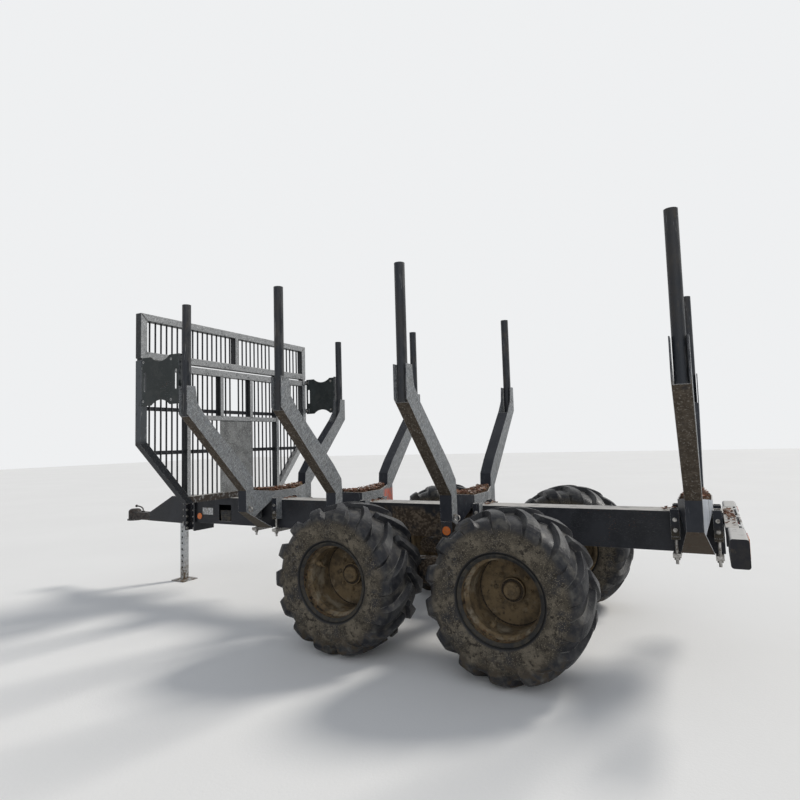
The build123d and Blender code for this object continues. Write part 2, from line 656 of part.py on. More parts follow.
def headboard_upper():
    """Upper frame with the short posts that carry it on the lower one."""
    frame = welded_frame(UPPER_OUTLINE, UPPER_MEMBERS)
    edge = HALF_WIDTH - HEAD_TUBE / 2
    for y in (-edge, -HEAD_OUTER_POST_Y, HEAD_OUTER_POST_Y, edge):
        frame += block(HEAD_X, HEAD_X + HEAD_DEPTH, *post_limits(y, LOWER_TOP, HEAD_SPLIT))
    return frame


def headboard_lower():
    """Lower frame with the angle tabs that hold the side plates."""
    frame = welded_frame(LOWER_OUTLINE, LOWER_MEMBERS)
    y1 = HALF_WIDTH - SIDE_PLATE
    for side in (1, -1):
        for z in (SIDE_PLATE_TOP - SIDE_TAB_INSET, SIDE_PLATE_BOTTOM + SIDE_TAB_INSET):
            z0 = z - SIDE_TAB_HEIGHT / 2
            z1 = z + SIDE_TAB_HEIGHT / 2
            frame += block(HEAD_X - SIDE_TAB_LENGTH, HEAD_X, side * (y1 - SIDE_TAB), side * y1, z0, z1)
            frame += block(HEAD_X - SIDE_TAB, HEAD_X, side * (y1 - SIDE_TAB_LENGTH), side * y1, z0, z1)
    return frame


def bar_stations():
    """Y of the bars, even on both sides of the middle and clear of the outer posts."""
    count = int((HALF_WIDTH - HEAD_TUBE - BAR_RADIUS) / BAR_PITCH)
    reach = HEAD_POST_WIDTH / 2 + BAR_RADIUS
    steps = [BAR_PITCH * i for i in range(1, count + 1)]
    return [side * y for y in steps for side in (1, -1) if abs(y - HEAD_OUTER_POST_Y) > reach]


def grille(outline, members, z0, z1, rails):
    """Round bars and backing rails that fill the space between the members."""
    x = HEAD_X + BAR_SET
    bars = [round_bar(BAR_RADIUS, (x, y, z0), (x, y, z1)) for y in bar_stations()]
    for z in rails:
        bars.append(block(x, x + BACK_RAIL_DEPTH, -HALF_WIDTH, HALF_WIDTH,
                          z - BACK_RAIL_HEIGHT / 2, z + BACK_RAIL_HEIGHT / 2))
    joined = bars[0].fuse(*bars[1:]) & ring(outline)[1]
    for limits in members:
        joined -= block(HEAD_X, HEAD_X + HEAD_DEPTH, *limits)
    return joined


def centre_plate():
    """Sheet that closes the middle bay below the middle rail."""
    half = HEAD_INNER_POST_Y + HEAD_POST_WIDTH / 2
    x0 = HEAD_X + CENTRE_PLATE_SET
    return block(x0, x0 + CENTRE_PLATE, -half, half, BEAM_TOP + HEAD_TUBE, MID_RAIL_BOTTOM)


# Side plate: a cut-out sheet with a flange that seats on the first bunk
def side_plate(side):
    x0 = BUNK_X[0] + ARM_WIDTH / 2
    x1 = HEAD_X - SIDE_PLATE_GAP
    z0 = SIDE_PLATE_BOTTOM
    z1 = SIDE_PLATE_TOP
    y0 = side * (HALF_WIDTH - SIDE_PLATE)
    y1 = side * HALF_WIDTH
    plate = block(x0, x1, y0, y1, z0, z1)
    middle_x = (x0 + x1) / 2
    middle_z = (z0 + z1) / 2
    chord = (x1 - x0) / 4
    scoop = (chord ** 2 + SIDE_SCOOP ** 2) / (2 * SIDE_SCOOP)
    past = side * CUT_MARGIN
    for z in (z0 + SIDE_SCOOP - scoop, z1 - SIDE_SCOOP + scoop):
        plate -= round_bar(scoop, (middle_x, y0 - past, z), (middle_x, y1 + past, z))
    for x in (x0 + SIDE_SLOT_EDGE, x1 - SIDE_SLOT_EDGE):
        plane = Plane(origin=(x, y0 - past, middle_z), x_dir=(0, 0, 1), z_dir=(0, side, 0))
        slot = SlotOverall(SIDE_SLOT_HEIGHT, SIDE_SLOT_WIDTH)
        plate -= extrude(plane * slot, amount=SIDE_PLATE + 2 * CUT_MARGIN)
    flange = block(x0, x0 + SIDE_PLATE, y0, y1 - side * SIDE_FLANGE, z0 - SIDE_FLANGE_DROP, z1)
    return plate + flange


# Bogie: saddle and cross tube, two side beams with stub axles
BOGIE_OUTER_Y = HALF_TRACK - TYRE_WIDTH / 2 - BOGIE_TYRE_GAP
BOGIE_INNER_Y = BOGIE_OUTER_Y - BOGIE_BEAM_WIDTH
DISC_OUTER_Y = HALF_TRACK - DISC_INSET
DISC_INNER_Y = DISC_OUTER_Y - DISC_THICKNESS
HUB_INNER_Y = DISC_INNER_Y - HUB_LENGTH
HUB_NOSE_Y = DISC_OUTER_Y + HUB_NOSE_LENGTH
HUB_BORE_END = HUB_NOSE_Y - STUB_END_GAP


def bogie_axle():
    half = SADDLE_LENGTH / 2
    z1 = BEAM_BOTTOM
    shape = block(-half, half, -SADDLE_WIDTH / 2, SADDLE_WIDTH / 2, z1 - SADDLE_TOP, z1)
    web = [(-half, z1 - SADDLE_TOP), (half, z1 - SADDLE_TOP),
           (BOGIE_TUBE_RADIUS, AXLE_Z), (-BOGIE_TUBE_RADIUS, AXLE_Z)]
    for side in (1, -1):
        y = side * SADDLE_WEB_Y
        shape += sheet_y(web, y - SADDLE_WEB / 2, y + SADDLE_WEB / 2)
    tube = round_bar(BOGIE_TUBE_RADIUS, (0, -BOGIE_INNER_Y, AXLE_Z), (0, BOGIE_INNER_Y, AXLE_Z))
    bore_radius = BOGIE_TUBE_RADIUS - BOGIE_TUBE_WALL
    bore = round_bar(bore_radius, (0, -BOGIE_INNER_Y, AXLE_Z), (0, BOGIE_INNER_Y, AXLE_Z))
    shape += tube
    for side in (1, -1):
        y = side * BOGIE_INNER_Y
        shape += round_bar(BOGIE_COLLAR_RADIUS, (0, y - side * BOGIE_COLLAR_LENGTH, AXLE_Z), (0, y, AXLE_Z))
    return shape - bore


def bogie_beam(side):
    """A side beam, deep in the middle, with two stub axles."""
    reach = WHEELBASE / 2
    middle = BOGIE_BEAM_HEIGHT / 2
    end = BOGIE_BEAM_END_HEIGHT / 2
    outline = [(-reach, AXLE_Z - end), (0, AXLE_Z - middle), (reach, AXLE_Z - end),
               (reach, AXLE_Z + end), (0, AXLE_Z + middle), (-reach, AXLE_Z + end)]
    y0 = side * BOGIE_INNER_Y
    y1 = side * BOGIE_OUTER_Y
    wall = side * BOGIE_BEAM_WALL
    core = make_face(Polyline([(x, y0 + wall, z) for x, z in outline], close=True))
    core = offset(core, -BOGIE_BEAM_WALL, kind=Kind.INTERSECTION)
    beam = sheet_y(outline, y0, y1) - extrude(core, amount=y1 - y0 - 2 * wall, dir=(0, 1, 0))
    for _, x, _ in AXLES:
        beam += round_bar(end, (x, y0, AXLE_Z), (x, y1, AXLE_Z))
        beam += round_bar(AXLE_RADIUS, (x, y1, AXLE_Z), (x, side * (HUB_INNER_Y - HUB_END_GAP), AXLE_Z))
        beam += round_bar(STUB_RADIUS, (x, y1, AXLE_Z), (x, side * (HUB_BORE_END - STUB_END), AXLE_Z))
    return beam


# Wheel: tyre, rim with an inset disc, and hub, drawn about the Y axis on the left side
def rim():
    half = RIM_WIDTH / 2
    seat = half - RIM_FLANGE_WIDTH
    well = seat - RIM_SEAT_WIDTH
    flat = well - RIM_WELL_SLOPE
    bead = BEAD_RADIUS
    outer = [(RIM_WELL_RADIUS, 0), (RIM_WELL_RADIUS, flat), (bead, well), (bead, seat),
             (RIM_FLANGE_RADIUS, seat), (RIM_FLANGE_RADIUS, half)]
    inner = [(RIM_FLANGE_RADIUS - RIM_WALL, half), (bead - RIM_WALL, seat), (bead - RIM_WALL, well),
             (RIM_WELL_RADIUS - RIM_WALL, flat), (RIM_WELL_RADIUS - RIM_WALL, 0)]
    profile = [(r, -y) for r, y in reversed(outer)][:-1] + outer + inner
    profile += [(r, -y) for r, y in reversed(inner)][1:]
    barrel = Pos(0, HALF_TRACK, 0) * turned(profile)
    eye = HUB_NOSE_RADIUS + BEAD_CLEARANCE
    edge = RIM_WELL_RADIUS - RIM_WALL
    disc = turned([(eye, DISC_INNER_Y), (edge, DISC_INNER_Y), (edge, DISC_OUTER_Y), (eye, DISC_OUTER_Y)])
    return barrel + disc


def hub():
    bore = STUB_RADIUS + STUB_CLEARANCE
    cap = HUB_NOSE_Y + HUB_CAP_LENGTH
    flange = DISC_INNER_Y - HUB_FLANGE_THICKNESS
    cap_face = HUB_CAP_RADIUS - HUB_CAP_EDGE
    return turned([(bore, HUB_INNER_Y), (HUB_RADIUS, HUB_INNER_Y), (HUB_RADIUS, flange),
                   (HUB_FLANGE_RADIUS, flange), (HUB_FLANGE_RADIUS, DISC_INNER_Y),
                   (HUB_NOSE_RADIUS, DISC_INNER_Y), (HUB_NOSE_RADIUS, HUB_NOSE_Y),
                   (HUB_CAP_RADIUS, HUB_NOSE_Y), (HUB_CAP_RADIUS, cap - HUB_CAP_EDGE), (cap_face, cap),
                   (0, cap), (0, HUB_BORE_END), (bore, HUB_BORE_END)])


# Tyre: a casing with flat facets and two rows of slanted lugs, half a pitch apart
def on_wheel(y, radius, angle):
    """A point of the left wheel, at an angle round its axle."""
    return (radius * math.cos(angle), HALF_TRACK + y, radius * math.sin(angle))


def facets(*corners):
    """Flat triangles that fan out from the first corner, without those of no size."""
    flat = [(corners[0], one, other) for one, other in zip(corners[1:], corners[2:])]
    return [Face(Wire.make_polygon(three)) for three in flat if len(set(three)) == len(three)]


def casing_facets():
    """The tyre's sides, beads and inside, from one row of lugs to the other."""
    half = TYRE_WIDTH / 2
    crown = TYRE_RADIUS - LUG_HEIGHT
    belly = crown - BELLY_DROP
    seat = RIM_WIDTH / 2 - RIM_FLANGE_WIDTH - BEAD_CLEARANCE
    sides = 2 * LUG_COUNT
    bead, heel = [(radius + BEAD_CLEARANCE) / math.cos(math.pi / sides)
                  for radius in (BEAD_RADIUS, RIM_FLANGE_RADIUS)]
    line = [(half - LUG_END_SET, crown - LUG_END_DROP), (half - BELLY_SET, belly),
            (seat, heel), (seat, bead), (seat - BEAD_LENGTH, bead),
            (half - BELLY_SET - TYRE_WALL, belly), (half - LUG_BEND_FOOT_SET, crown - CROWN_WALL)]
    line += [(-y, radius) for y, radius in reversed(line)]
    step = 2 * math.pi / sides
    faces = []
    for n in range(sides):
        a = (n - 1 / 2) * step
        for (y0, r0), (y1, r1) in zip(line, line[1:]):
            corners = (on_wheel(y0, r0, a), on_wheel(y1, r1, a),
                       on_wheel(y1, r1, a + step), on_wheel(y0, r0, a + step))
            faces.append(Face(Wire.make_polygon(corners)))
    return faces


def lug_line(side, phase, places, halves):
    """Pairs of corners along a lug's foot or top, with the lug's end on the sidewall."""
    half = TYRE_WIDTH / 2
    crown = TYRE_RADIUS - LUG_HEIGHT
    quarter = math.pi / LUG_COUNT / 2
    rows = [(y, radius, phase - lead / crown, width / crown)
            for (y, radius), lead, width in zip(places, LUG_LEADS, halves)]
    rows.append((half - LUG_END_SET, crown - LUG_END_DROP, phase, quarter))
    return [[on_wheel(side * y, radius, angle + e * width) for e in (-1, 1)]
            for y, radius, angle, width in rows]


def lug_feet(side, phase):
    half = TYRE_WIDTH / 2
    crown = TYRE_RADIUS - LUG_HEIGHT
    places = ((0, crown), (half - LUG_BEND_FOOT_SET, crown - LUG_BEND_FOOT_DROP),
              (half - LUG_SHOULDER_FOOT_SET, crown - LUG_SHOULDER_FOOT_DROP))
    return lug_line(side, phase, places, LUG_FOOT_HALVES)


def lug_tops(side, phase):
    half = TYRE_WIDTH / 2
    places = ((LUG_START, TYRE_RADIUS), (half - LUG_BEND_SET, TYRE_RADIUS - LUG_BEND_DROP),
              (half - LUG_SHOULDER_SET, TYRE_RADIUS - LUG_SHOULDER_DROP))
    return lug_line(side, phase, places, LUG_TOP_HALVES)


def lug_facets(side, phase):
    """One lug and the floor between it and the next one on its side."""
    pitch = 2 * math.pi / LUG_COUNT
    feet = lug_feet(side, phase)
    tops = lug_tops(side, phase)
    following = lug_feet(side, phase + pitch)
    across = lug_feet(-side, phase + pitch / 2)
    faces = facets(feet[0][0], feet[0][1], tops[0][1], tops[0][0])
    for k in range(len(feet) - 1):
        faces += facets(feet[k][0], tops[k][0], tops[k + 1][0], feet[k + 1][0])
        faces += facets(tops[k][0], tops[k][1], tops[k + 1][1], tops[k + 1][0])
        faces += facets(feet[k][1], tops[k][1], tops[k + 1][1], feet[k + 1][1])
    faces += facets(feet[1][1], feet[0][1], *across[0], following[0][0], following[1][0])
    for k in range(1, len(feet) - 1):
        faces += facets(feet[k][1], following[k][0], following[k + 1][0], feet[k + 1][1])
    return faces


def tyre():
    pitch = 2 * math.pi / LUG_COUNT
    faces = casing_facets()
    for side, start in ((1, 0), (-1, pitch / 2)):
        for n in range(LUG_COUNT):
            faces += lug_facets(side, start + n * pitch)
    return Solid(Shell(faces))


def on_axle(shape, side, x, turn):
    """A wheel piece, drawn on the left, turned and moved to its axle on either side."""
    if side < 0:
        shape = mirror(shape, about=Plane.XZ)
    return Pos(x, 0, AXLE_Z) * Rot(0, -turn, 0) * shape


# Rear light bar with lamp housings, lenses and a guard rail
def light_bar():
    half = LIGHT_BAR_HALF
    wall = LIGHT_BAR_WALL
    bar = block(LIGHT_BAR_REAR, BEAM_REAR, -half, half, LIGHT_BAR_BOTTOM, LIGHT_BAR_TOP)
    bar -= block(LIGHT_BAR_REAR + wall, BEAM_REAR - wall, -half, half,
                 LIGHT_BAR_BOTTOM + wall, LIGHT_BAR_TOP - wall)
    for _, side in SIDES:
        bar += block(LIGHT_BAR_REAR, BEAM_REAR, side * half, side * LAMP_INNER_Y,
                     LIGHT_BAR_TOP - LIGHT_BAR_END_HEIGHT, LIGHT_BAR_TOP)
    return bar


def lamp_housing(side):
    box = block(LAMP_FRONT - LAMP_DEPTH, LAMP_FRONT, side * LAMP_INNER_Y, side * (LAMP_INNER_Y + LAMP_WIDTH),
                LAMP_BOTTOM, LIGHT_BAR_TOP)
    return fillet(box.edges().filter_by(Axis.Y), LAMP_CORNER)


def lens(side):
    x1 = LAMP_FRONT - LAMP_DEPTH
    y0 = LAMP_INNER_Y + LENS_MARGIN
    return block(x1 - LENS_THICKNESS, x1, side * y0, side * (y0 + LENS_WIDTH),
                 LAMP_BOTTOM + LENS_MARGIN, LIGHT_BAR_TOP - LENS_MARGIN)


def light_guard():
    z0 = LIGHT_BAR_TOP - GUARD_HEIGHT
    x1 = LIGHT_BAR_REAR - GUARD_GAP
    guard = block(x1 - GUARD_DEPTH, x1, -GUARD_HALF, GUARD_HALF, z0, LIGHT_BAR_TOP)
    for y in GUARD_SPACER_Y:
        guard += block(x1, LIGHT_BAR_REAR, y - GUARD_SPACER_HALF, y + GUARD_SPACER_HALF, z0, LIGHT_BAR_TOP)
    return guard


# Side reflectors and their brackets under the third bunk
def reflector(x, y, z, side):
    return round_bar(REFLECTOR_RADIUS, (x, side * y, z), (x, side * (y + REFLECTOR_THICKNESS), z))


def reflector_bracket(side):
    z1 = bottom_z(LEG_OUTER - REFLECTOR_PLATE)
    x = BUNK_X[2]
    return block(x - REFLECTOR_PLATE_HALF, x + REFLECTOR_PLATE_HALF, side * (LEG_OUTER - REFLECTOR_PLATE),
                 side * LEG_OUTER, z1 - REFLECTOR_PLATE_DROP, z1)


def build():
    save(main_beam(), "main_beam")
    save(wheel_chock(), "wheel_chock")
    save(drawbar_bracket(), "drawbar_bracket")
    save(drawbar(), "drawbar")
    save(ball_coupling(), "ball_coupling")
    save(jack_sleeve(), "jack_sleeve")
    save(jack_leg(), "jack_leg")
    save(jack_pin(), "jack_pin")

    bunk_shape = bunk()
    poles = pole_pair()
    clamps = Compound(children=[clamp(1), clamp(-1)])
    for number, x in enumerate(BUNK_X, start=1):
        save(Pos(x, 0, 0) * bunk_shape, f"bunk_{number}")
        save(Pos(x, 0, 0) * poles, f"stake_poles_{number}")
        save(Pos(x, 0, 0) * clamps, f"clamps_{number}")

    save(headboard_upper(), "headboard_upper")
    save(headboard_lower(), "headboard_lower")
    save(centre_plate(), "headboard_plate")
    save(grille(UPPER_OUTLINE, UPPER_MEMBERS, HEAD_SPLIT, HEAD_TOP, ()), "grille_upper")
    save(grille(LOWER_OUTLINE, LOWER_MEMBERS, BEAM_TOP, LOWER_TOP, BACK_RAIL_Z), "grille_lower")

    save(bogie_axle(), "bogie_axle")
    wheel_parts = (("tyre", tyre()), ("rim", rim()), ("hub", hub()))
    for side_name, side in SIDES:
        save(side_plate(side), f"side_plate_{side_name}")
        save(bogie_beam(side), f"bogie_beam_{side_name}")
        for axle_name, x, turn in AXLES:
            for part_name, shape in wheel_parts:
                save(on_axle(shape, side, x, turn), f"{part_name}_{axle_name}_{side_name}")

    save(light_bar(), "light_bar")
    save(Compound(children=[lamp_housing(side) for _, side in SIDES]), "lamp_housings")
    save(Compound(children=[lens(side) for _, side in SIDES]), "tail_lenses")
    save(light_guard(), "light_guard")
    places = ((BEAM_FRONT - BEAM_REFLECTOR_SET, HALF_BEAM, BEAM_BOTTOM + BEAM_REFLECTOR_RISE),
              (BUNK_X[2], LEG_OUTER, bottom_z(LEG_OUTER) - BUNK_REFLECTOR_DROP))
    discs = [reflector(x, y, z, side) for x, y, z in places for _, side in SIDES]
    save(Compound(children=discs), "side_reflectors")
    save(Compound(children=[reflector_bracket(side) for _, side in SIDES]), "reflector_brackets")


build()
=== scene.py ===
import random
from math import cos, pi, radians, sin

import bmesh
import bpy
from mathutils import Matrix, Vector


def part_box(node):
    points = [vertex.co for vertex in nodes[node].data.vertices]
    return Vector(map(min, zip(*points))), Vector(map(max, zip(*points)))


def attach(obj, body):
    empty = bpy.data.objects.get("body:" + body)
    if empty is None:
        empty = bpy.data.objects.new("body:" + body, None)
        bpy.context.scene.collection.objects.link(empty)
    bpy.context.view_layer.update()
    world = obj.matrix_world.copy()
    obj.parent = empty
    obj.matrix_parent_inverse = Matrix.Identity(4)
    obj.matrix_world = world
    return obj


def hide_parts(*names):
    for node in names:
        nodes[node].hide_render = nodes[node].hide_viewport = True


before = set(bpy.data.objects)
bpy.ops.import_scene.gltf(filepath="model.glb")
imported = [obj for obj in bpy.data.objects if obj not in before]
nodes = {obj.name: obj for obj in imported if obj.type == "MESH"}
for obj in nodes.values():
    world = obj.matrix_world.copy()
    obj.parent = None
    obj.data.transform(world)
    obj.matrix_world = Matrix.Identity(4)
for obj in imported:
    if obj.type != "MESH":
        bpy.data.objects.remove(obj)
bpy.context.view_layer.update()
scene = bpy.context.scene
scene.view_settings.view_transform = "Standard"

# The view and the studio. The trailer is seen from behind its left rear wheel at eye height, on a plain
# pale floor. A broad lamp stands high behind its right side, as a low sun would, and a softer one fills
# the near side.
EYE = Vector((-3.2815, 4.939, 1.661))
TURN, TILT, ROLL = (radians(angle) for angle in (28.40, 4.21, -1.62))
LENS = 25.6
FLOOR_HALF = 60.0
FLOOR_COLOUR = (0.78, 0.77, 0.75)
SKY_COLOUR = (0.84, 0.90, 1.0, 1.0)
SKY_LEVEL = 0.42
BACKDROP_COLOUR = (0.86, 0.87, 0.88, 1.0)
LAMPS = (("key", (-0.50, -0.78, 0.80), 2.3, 14.0, (1.0, 0.97, 0.92)),
         ("fill", (-0.45, 0.90, 0.42), 0.85, 60.0, (0.93, 0.96, 1.0)))

ahead = Vector((sin(TURN) * cos(TILT), -cos(TURN) * cos(TILT), sin(TILT)))
level = Vector((-cos(TURN), -sin(TURN), 0.0))
upright = level.cross(ahead)
across = cos(ROLL) * level + sin(ROLL) * upright
above = cos(ROLL) * upright - sin(ROLL) * level
camera = bpy.data.objects.new("camera", bpy.data.cameras.new("camera"))
camera.data.lens = LENS
camera.data.sensor_width = 36.0
camera.matrix_world = Matrix.Translation(EYE) @ Matrix((across, above, -ahead)).transposed().to_4x4()
scene.collection.objects.link(camera)
scene.camera = camera

for name, way, power, spread, colour in LAMPS:
    lamp = bpy.data.objects.new("lamp_" + name, bpy.data.lights.new("lamp_" + name, "SUN"))
    lamp.data.angle = radians(spread)
    lamp.data.energy = power
    lamp.data.color = colour
    lamp.location = Vector(way) * 10.0
    lamp.rotation_euler = Vector(way).to_track_quat("Z", "Y").to_euler()
    scene.collection.objects.link(lamp)



def add_node(tree, kind, links, **values):
    """Adds a node, sets it up and gives its first output."""
    node = tree.nodes.new(kind)
    for key, value in values.items():
        setattr(node, key, value)
    for key, value in links.items():
        if isinstance(value, bpy.types.NodeSocket):
            tree.links.new(value, node.inputs[key])
        else:
            node.inputs[key].default_value = value
    return node.outputs[0]


world = bpy.data.worlds.new("studio")
world.use_nodes = True
sky = world.node_tree
sky_light = sky.nodes["Background"]
sky_light.inputs["Color"].default_value = SKY_COLOUR
sky_light.inputs["Strength"].default_value = SKY_LEVEL
backdrop = add_node(sky, "ShaderNodeBackground", {"Color": BACKDROP_COLOUR})
rays = sky.nodes.new("ShaderNodeLightPath").outputs
seen = rays["Is Camera Ray"]
for ray in ("Is Glossy Ray", "Is Transmission Ray"):
    seen = add_node(sky, "ShaderNodeMath", {0: seen, 1: rays[ray]}, operation="MAXIMUM")
chosen = add_node(sky, "ShaderNodeMixShader", {0: seen, 1: sky_light.outputs[0], 2: backdrop})
sky.links.new(chosen, sky.nodes["World Output"].inputs["Surface"])
scene.world = world


class Finish:
    """A surface finish that is laid on in coats, each one over what is below it."""

    def __init__(self, name, colour, roughness, metallic=0.0, shine=0.2):
        self.material = bpy.data.materials.new(name)
        self.material.use_nodes = True
        self.tree = self.material.node_tree
        self.surface = self.tree.nodes["Principled BSDF"]
        self.surface.inputs["Metallic"].default_value = metallic
        self.surface.inputs["Specular IOR Level"].default_value = shine
        self.colour = (*colour, 1.0)
        self.roughness = roughness
        spot = self.tree.nodes.new("ShaderNodeTexCoord")
        self.place = spot.outputs["Object"]
        self.facing = spot.outputs["Normal"]
        self.normal = None

    def step(self, kind, links, **values):
        """Adds a node to this finish."""
        return add_node(self.tree, kind, links, **values)

    def vector(self, operation, *values):
        """Vector arithmetic, with a number as its result for a dot product or a length."""
        result = self.step("ShaderNodeVectorMath", dict(enumerate(values)), operation=operation)
        return result.node.outputs["Value"] if operation in ("DOT_PRODUCT", "LENGTH") else result

    def spread(self, value, low, high):
        """Turns a value into a coat's cover, from none at low to full at high."""
        return self.step("ShaderNodeMapRange", {0: value, 1: low, 2: high}, interpolation_type="SMOOTHSTEP")

    def stretched(self, stretch):
        """Places that are drawn out along the axes."""
        return self.vector("MULTIPLY", self.place, stretch)

    def measure(self, way):
        """Length of the part of a place that lies along the given axes."""
        return self.vector("LENGTH", self.stretched(way))

    def grain(self, size, low, high, stretch=(1.0, 1.0, 1.0), detail=5.0):
        """Cloudy cover with patches of about the given size."""
        noise = self.step("ShaderNodeTexNoise", {"Vector": self.stretched(stretch), "Scale": 1.0 / size,
                                                 "Detail": detail, "Roughness": 0.6})
        return self.spread(noise, low, high)

    def flecks(self, size, low, high, stretch=(1.0, 1.0, 1.0)):
        """Round spots of about the given size."""
        cells = self.step("ShaderNodeTexVoronoi", {"Vector": self.stretched(stretch), "Scale": 1.0 / size})
        return self.spread(cells, high, low)

    def towards(self, way, low, high):
        """Cover on the faces that look a given way."""
        return self.spread(self.vector("DOT_PRODUCT", self.facing, way), low, high)

    def along(self, way, low, high):
        """Cover that grows along a direction, from none at low to full at high."""
        return self.spread(self.vector("DOT_PRODUCT", self.place, way), low, high)

    def band(self, value, low, full, fall, none):
        """Cover that grows from low to full and goes again from fall to none."""
        return self.both(self.spread(value, low, full), self.less(self.spread(value, fall, none)))

    def between(self, way, low, high, soft):
        """Cover between two stations along a direction, with soft limits."""
        value = self.vector("DOT_PRODUCT", self.place, way)
        return self.band(value, low - soft, low + soft, high - soft, high + soft)

    def both_ways(self, way, low, high):
        """Cover on the faces that look along a line, whichever way."""
        return self.either(self.towards(way, low, high), self.towards([-part for part in way], low, high))

    def edges(self, radius, low=0.02, high=0.25):
        """Cover along the edges, where the paint is rubbed off."""
        rounded = self.step("ShaderNodeBevel", {"Radius": radius}, samples=4)
        sharp = self.tree.nodes.new("ShaderNodeNewGeometry").outputs["Normal"]
        return self.spread(self.vector("DOT_PRODUCT", rounded, sharp), 1.0 - low, 1.0 - high)

    def both(self, one, other):
        """Cover only where both covers are."""
        return self.step("ShaderNodeMath", {0: one, 1: other}, operation="MULTIPLY")

    def either(self, one, other):
        """Cover where one or the other is."""
        return self.step("ShaderNodeMath", {0: one, 1: other}, operation="MAXIMUM")

    def less(self, one):
        """Cover where the given one isn't."""
        return self.step("ShaderNodeMath", {0: 1.0, 1: one}, operation="SUBTRACT")

    def coat(self, cover, colour, roughness=None):
        """Lays a colour, and its roughness, over the coats below where its cover is."""
        links = {0: cover, 6: self.colour, 7: (*colour, 1.0)}
        self.colour = self.step("ShaderNodeMix", links, data_type="RGBA").node.outputs["Result"]
        if roughness is not None:
            self.roughness = self.step("ShaderNodeMix", {0: cover, 2: self.roughness, 3: roughness})
        return self

    def patches(self, grain, colour, roughness=None, within=None):
        """Lays a coat in cloudy patches, everywhere or within a cover."""
        cover = self.grain(*grain)
        return self.coat(cover if within is None else self.both(within, cover), colour, roughness)

    def specks(self, flecks, grain, colour, roughness):
        """Lays a coat in round spots that gather in places."""
        return self.coat(self.both(self.flecks(*flecks), self.grain(*grain)), colour, roughness)

    def worn_edges(self, radius, grain, colour, roughness):
        """Lays a coat along the edges, with gaps."""
        return self.coat(self.both(self.edges(radius), self.grain(*grain)), colour, roughness)

    def relief(self, height, depth):
        """Raises the surface by a depth in metres where the height is full."""
        links = {"Height": height, "Distance": depth}
        if self.normal:
            links["Normal"] = self.normal
        self.normal = self.step("ShaderNodeBump", links)
        return self

    def texture(self, size, depth):
        """Fine unevenness of the given size and depth."""
        return self.relief(self.grain(size, 0.3, 0.7), depth)

    def done(self, **fixed):
        """Hands over the material, with any fixed values of its surface."""
        for key, value in (("Base Color", self.colour), ("Roughness", self.roughness),
                           ("Normal", self.normal)):
            if isinstance(value, bpy.types.NodeSocket):
                self.tree.links.new(value, self.surface.inputs[key])
            elif value is not None:
                self.surface.inputs[key].default_value = value
        for key, value in fixed.items():
            self.surface.inputs[key.replace("_", " ")].default_value = value
        return self.material


floor_finish = Finish("pale_floor", FLOOR_COLOUR, 0.85)
floor_finish.patches((3.0, 0.35, 0.75), (0.80, 0.79, 0.77))
floor_finish.texture(0.02, 0.0004)
floor_mesh = bpy.data.meshes.new("floor")
floor_mesh.from_pydata([(-FLOOR_HALF, -FLOOR_HALF, 0), (FLOOR_HALF, -FLOOR_HALF, 0),
                        (FLOOR_HALF, FLOOR_HALF, 0), (-FLOOR_HALF, FLOOR_HALF, 0)], [], [(0, 1, 2, 3)])
floor_mesh.materials.append(floor_finish.done())
floor = bpy.data.objects.new("floor", floor_mesh)
scene.collection.objects.link(floor)

# The main beam is a welded box girder of plate, 250 wide and 300 deep, painted anthracite. The paint is
# scratched by timber, the top is dusty, and mud is caked on its sides between the wheels. A blank plate is
# riveted to its left wall near the front.
AHEAD, BACK = (1.0, 0.0, 0.0), (-1.0, 0.0, 0.0)
LEFT, UP, DOWN = (0.0, 1.0, 0.0), (0.0, 0.0, 1.0), (0.0, 0.0, -1.0)
ANTHRACITE = (0.014, 0.015, 0.018)
PALE_DUST = (0.50, 0.48, 0.45)
BROWN_DUST = (0.16, 0.125, 0.09)
DARK_MUD = (0.055, 0.040, 0.028)
BARE_STEEL = (0.36, 0.36, 0.36)
RUST = (0.10, 0.040, 0.018)
MUDDY_FROM, MUDDY_TO = -1.45, -0.12
NAME_PLATE = (1.907, 0.92, 0.165, 0.078)
RIVET_INSET = 0.010
RIVET_RADIUS = 0.004
beam_low, beam_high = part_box("main_beam")


def round_edges(part, width, angle=35.0):
    """Breaks the sharp edges of a part, as grinding and paint do."""
    bevel = part.modifiers.new("edges", "BEVEL")
    bevel.width = width
    bevel.segments = 2
    bevel.limit_method = "ANGLE"
    bevel.angle_limit = radians(angle)


def finish_node(name, material, width=0.0):
    """Gives a CAD part its finish and, where a width is given, broken edges."""
    part = nodes[name]
    if width:
        part.modifiers.new("joined", "WELD").merge_threshold = 0.00002
        round_edges(part, width)
        part.modifiers.new("normals", "WEIGHTED_NORMAL").keep_sharp = True
    part.data.materials.clear()
    part.data.materials.append(material)


def add_piece(name, mesh, material, body="frame", place=(0.0, 0.0, 0.0), smooth=35.0):
    """Makes a piece from a mesh and lets it ride with what carries it."""
    data = bpy.data.meshes.new(name)
    bmesh.ops.recalc_face_normals(mesh, faces=mesh.faces)
    mesh.to_mesh(data)
    mesh.free()
    data.materials.append(material)
    piece = bpy.data.objects.new(name, data)
    piece.location = place
    scene.collection.objects.link(piece)
    if smooth:
        data.set_sharp_from_angle(angle=radians(smooth))
    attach(piece, body)
    return piece


def block(mesh, spot, size):
    """A square block about a spot."""
    bmesh.ops.create_cube(mesh, size=1.0, matrix=Matrix.Translation(spot) @ Matrix.Diagonal((*size, 1.0)))


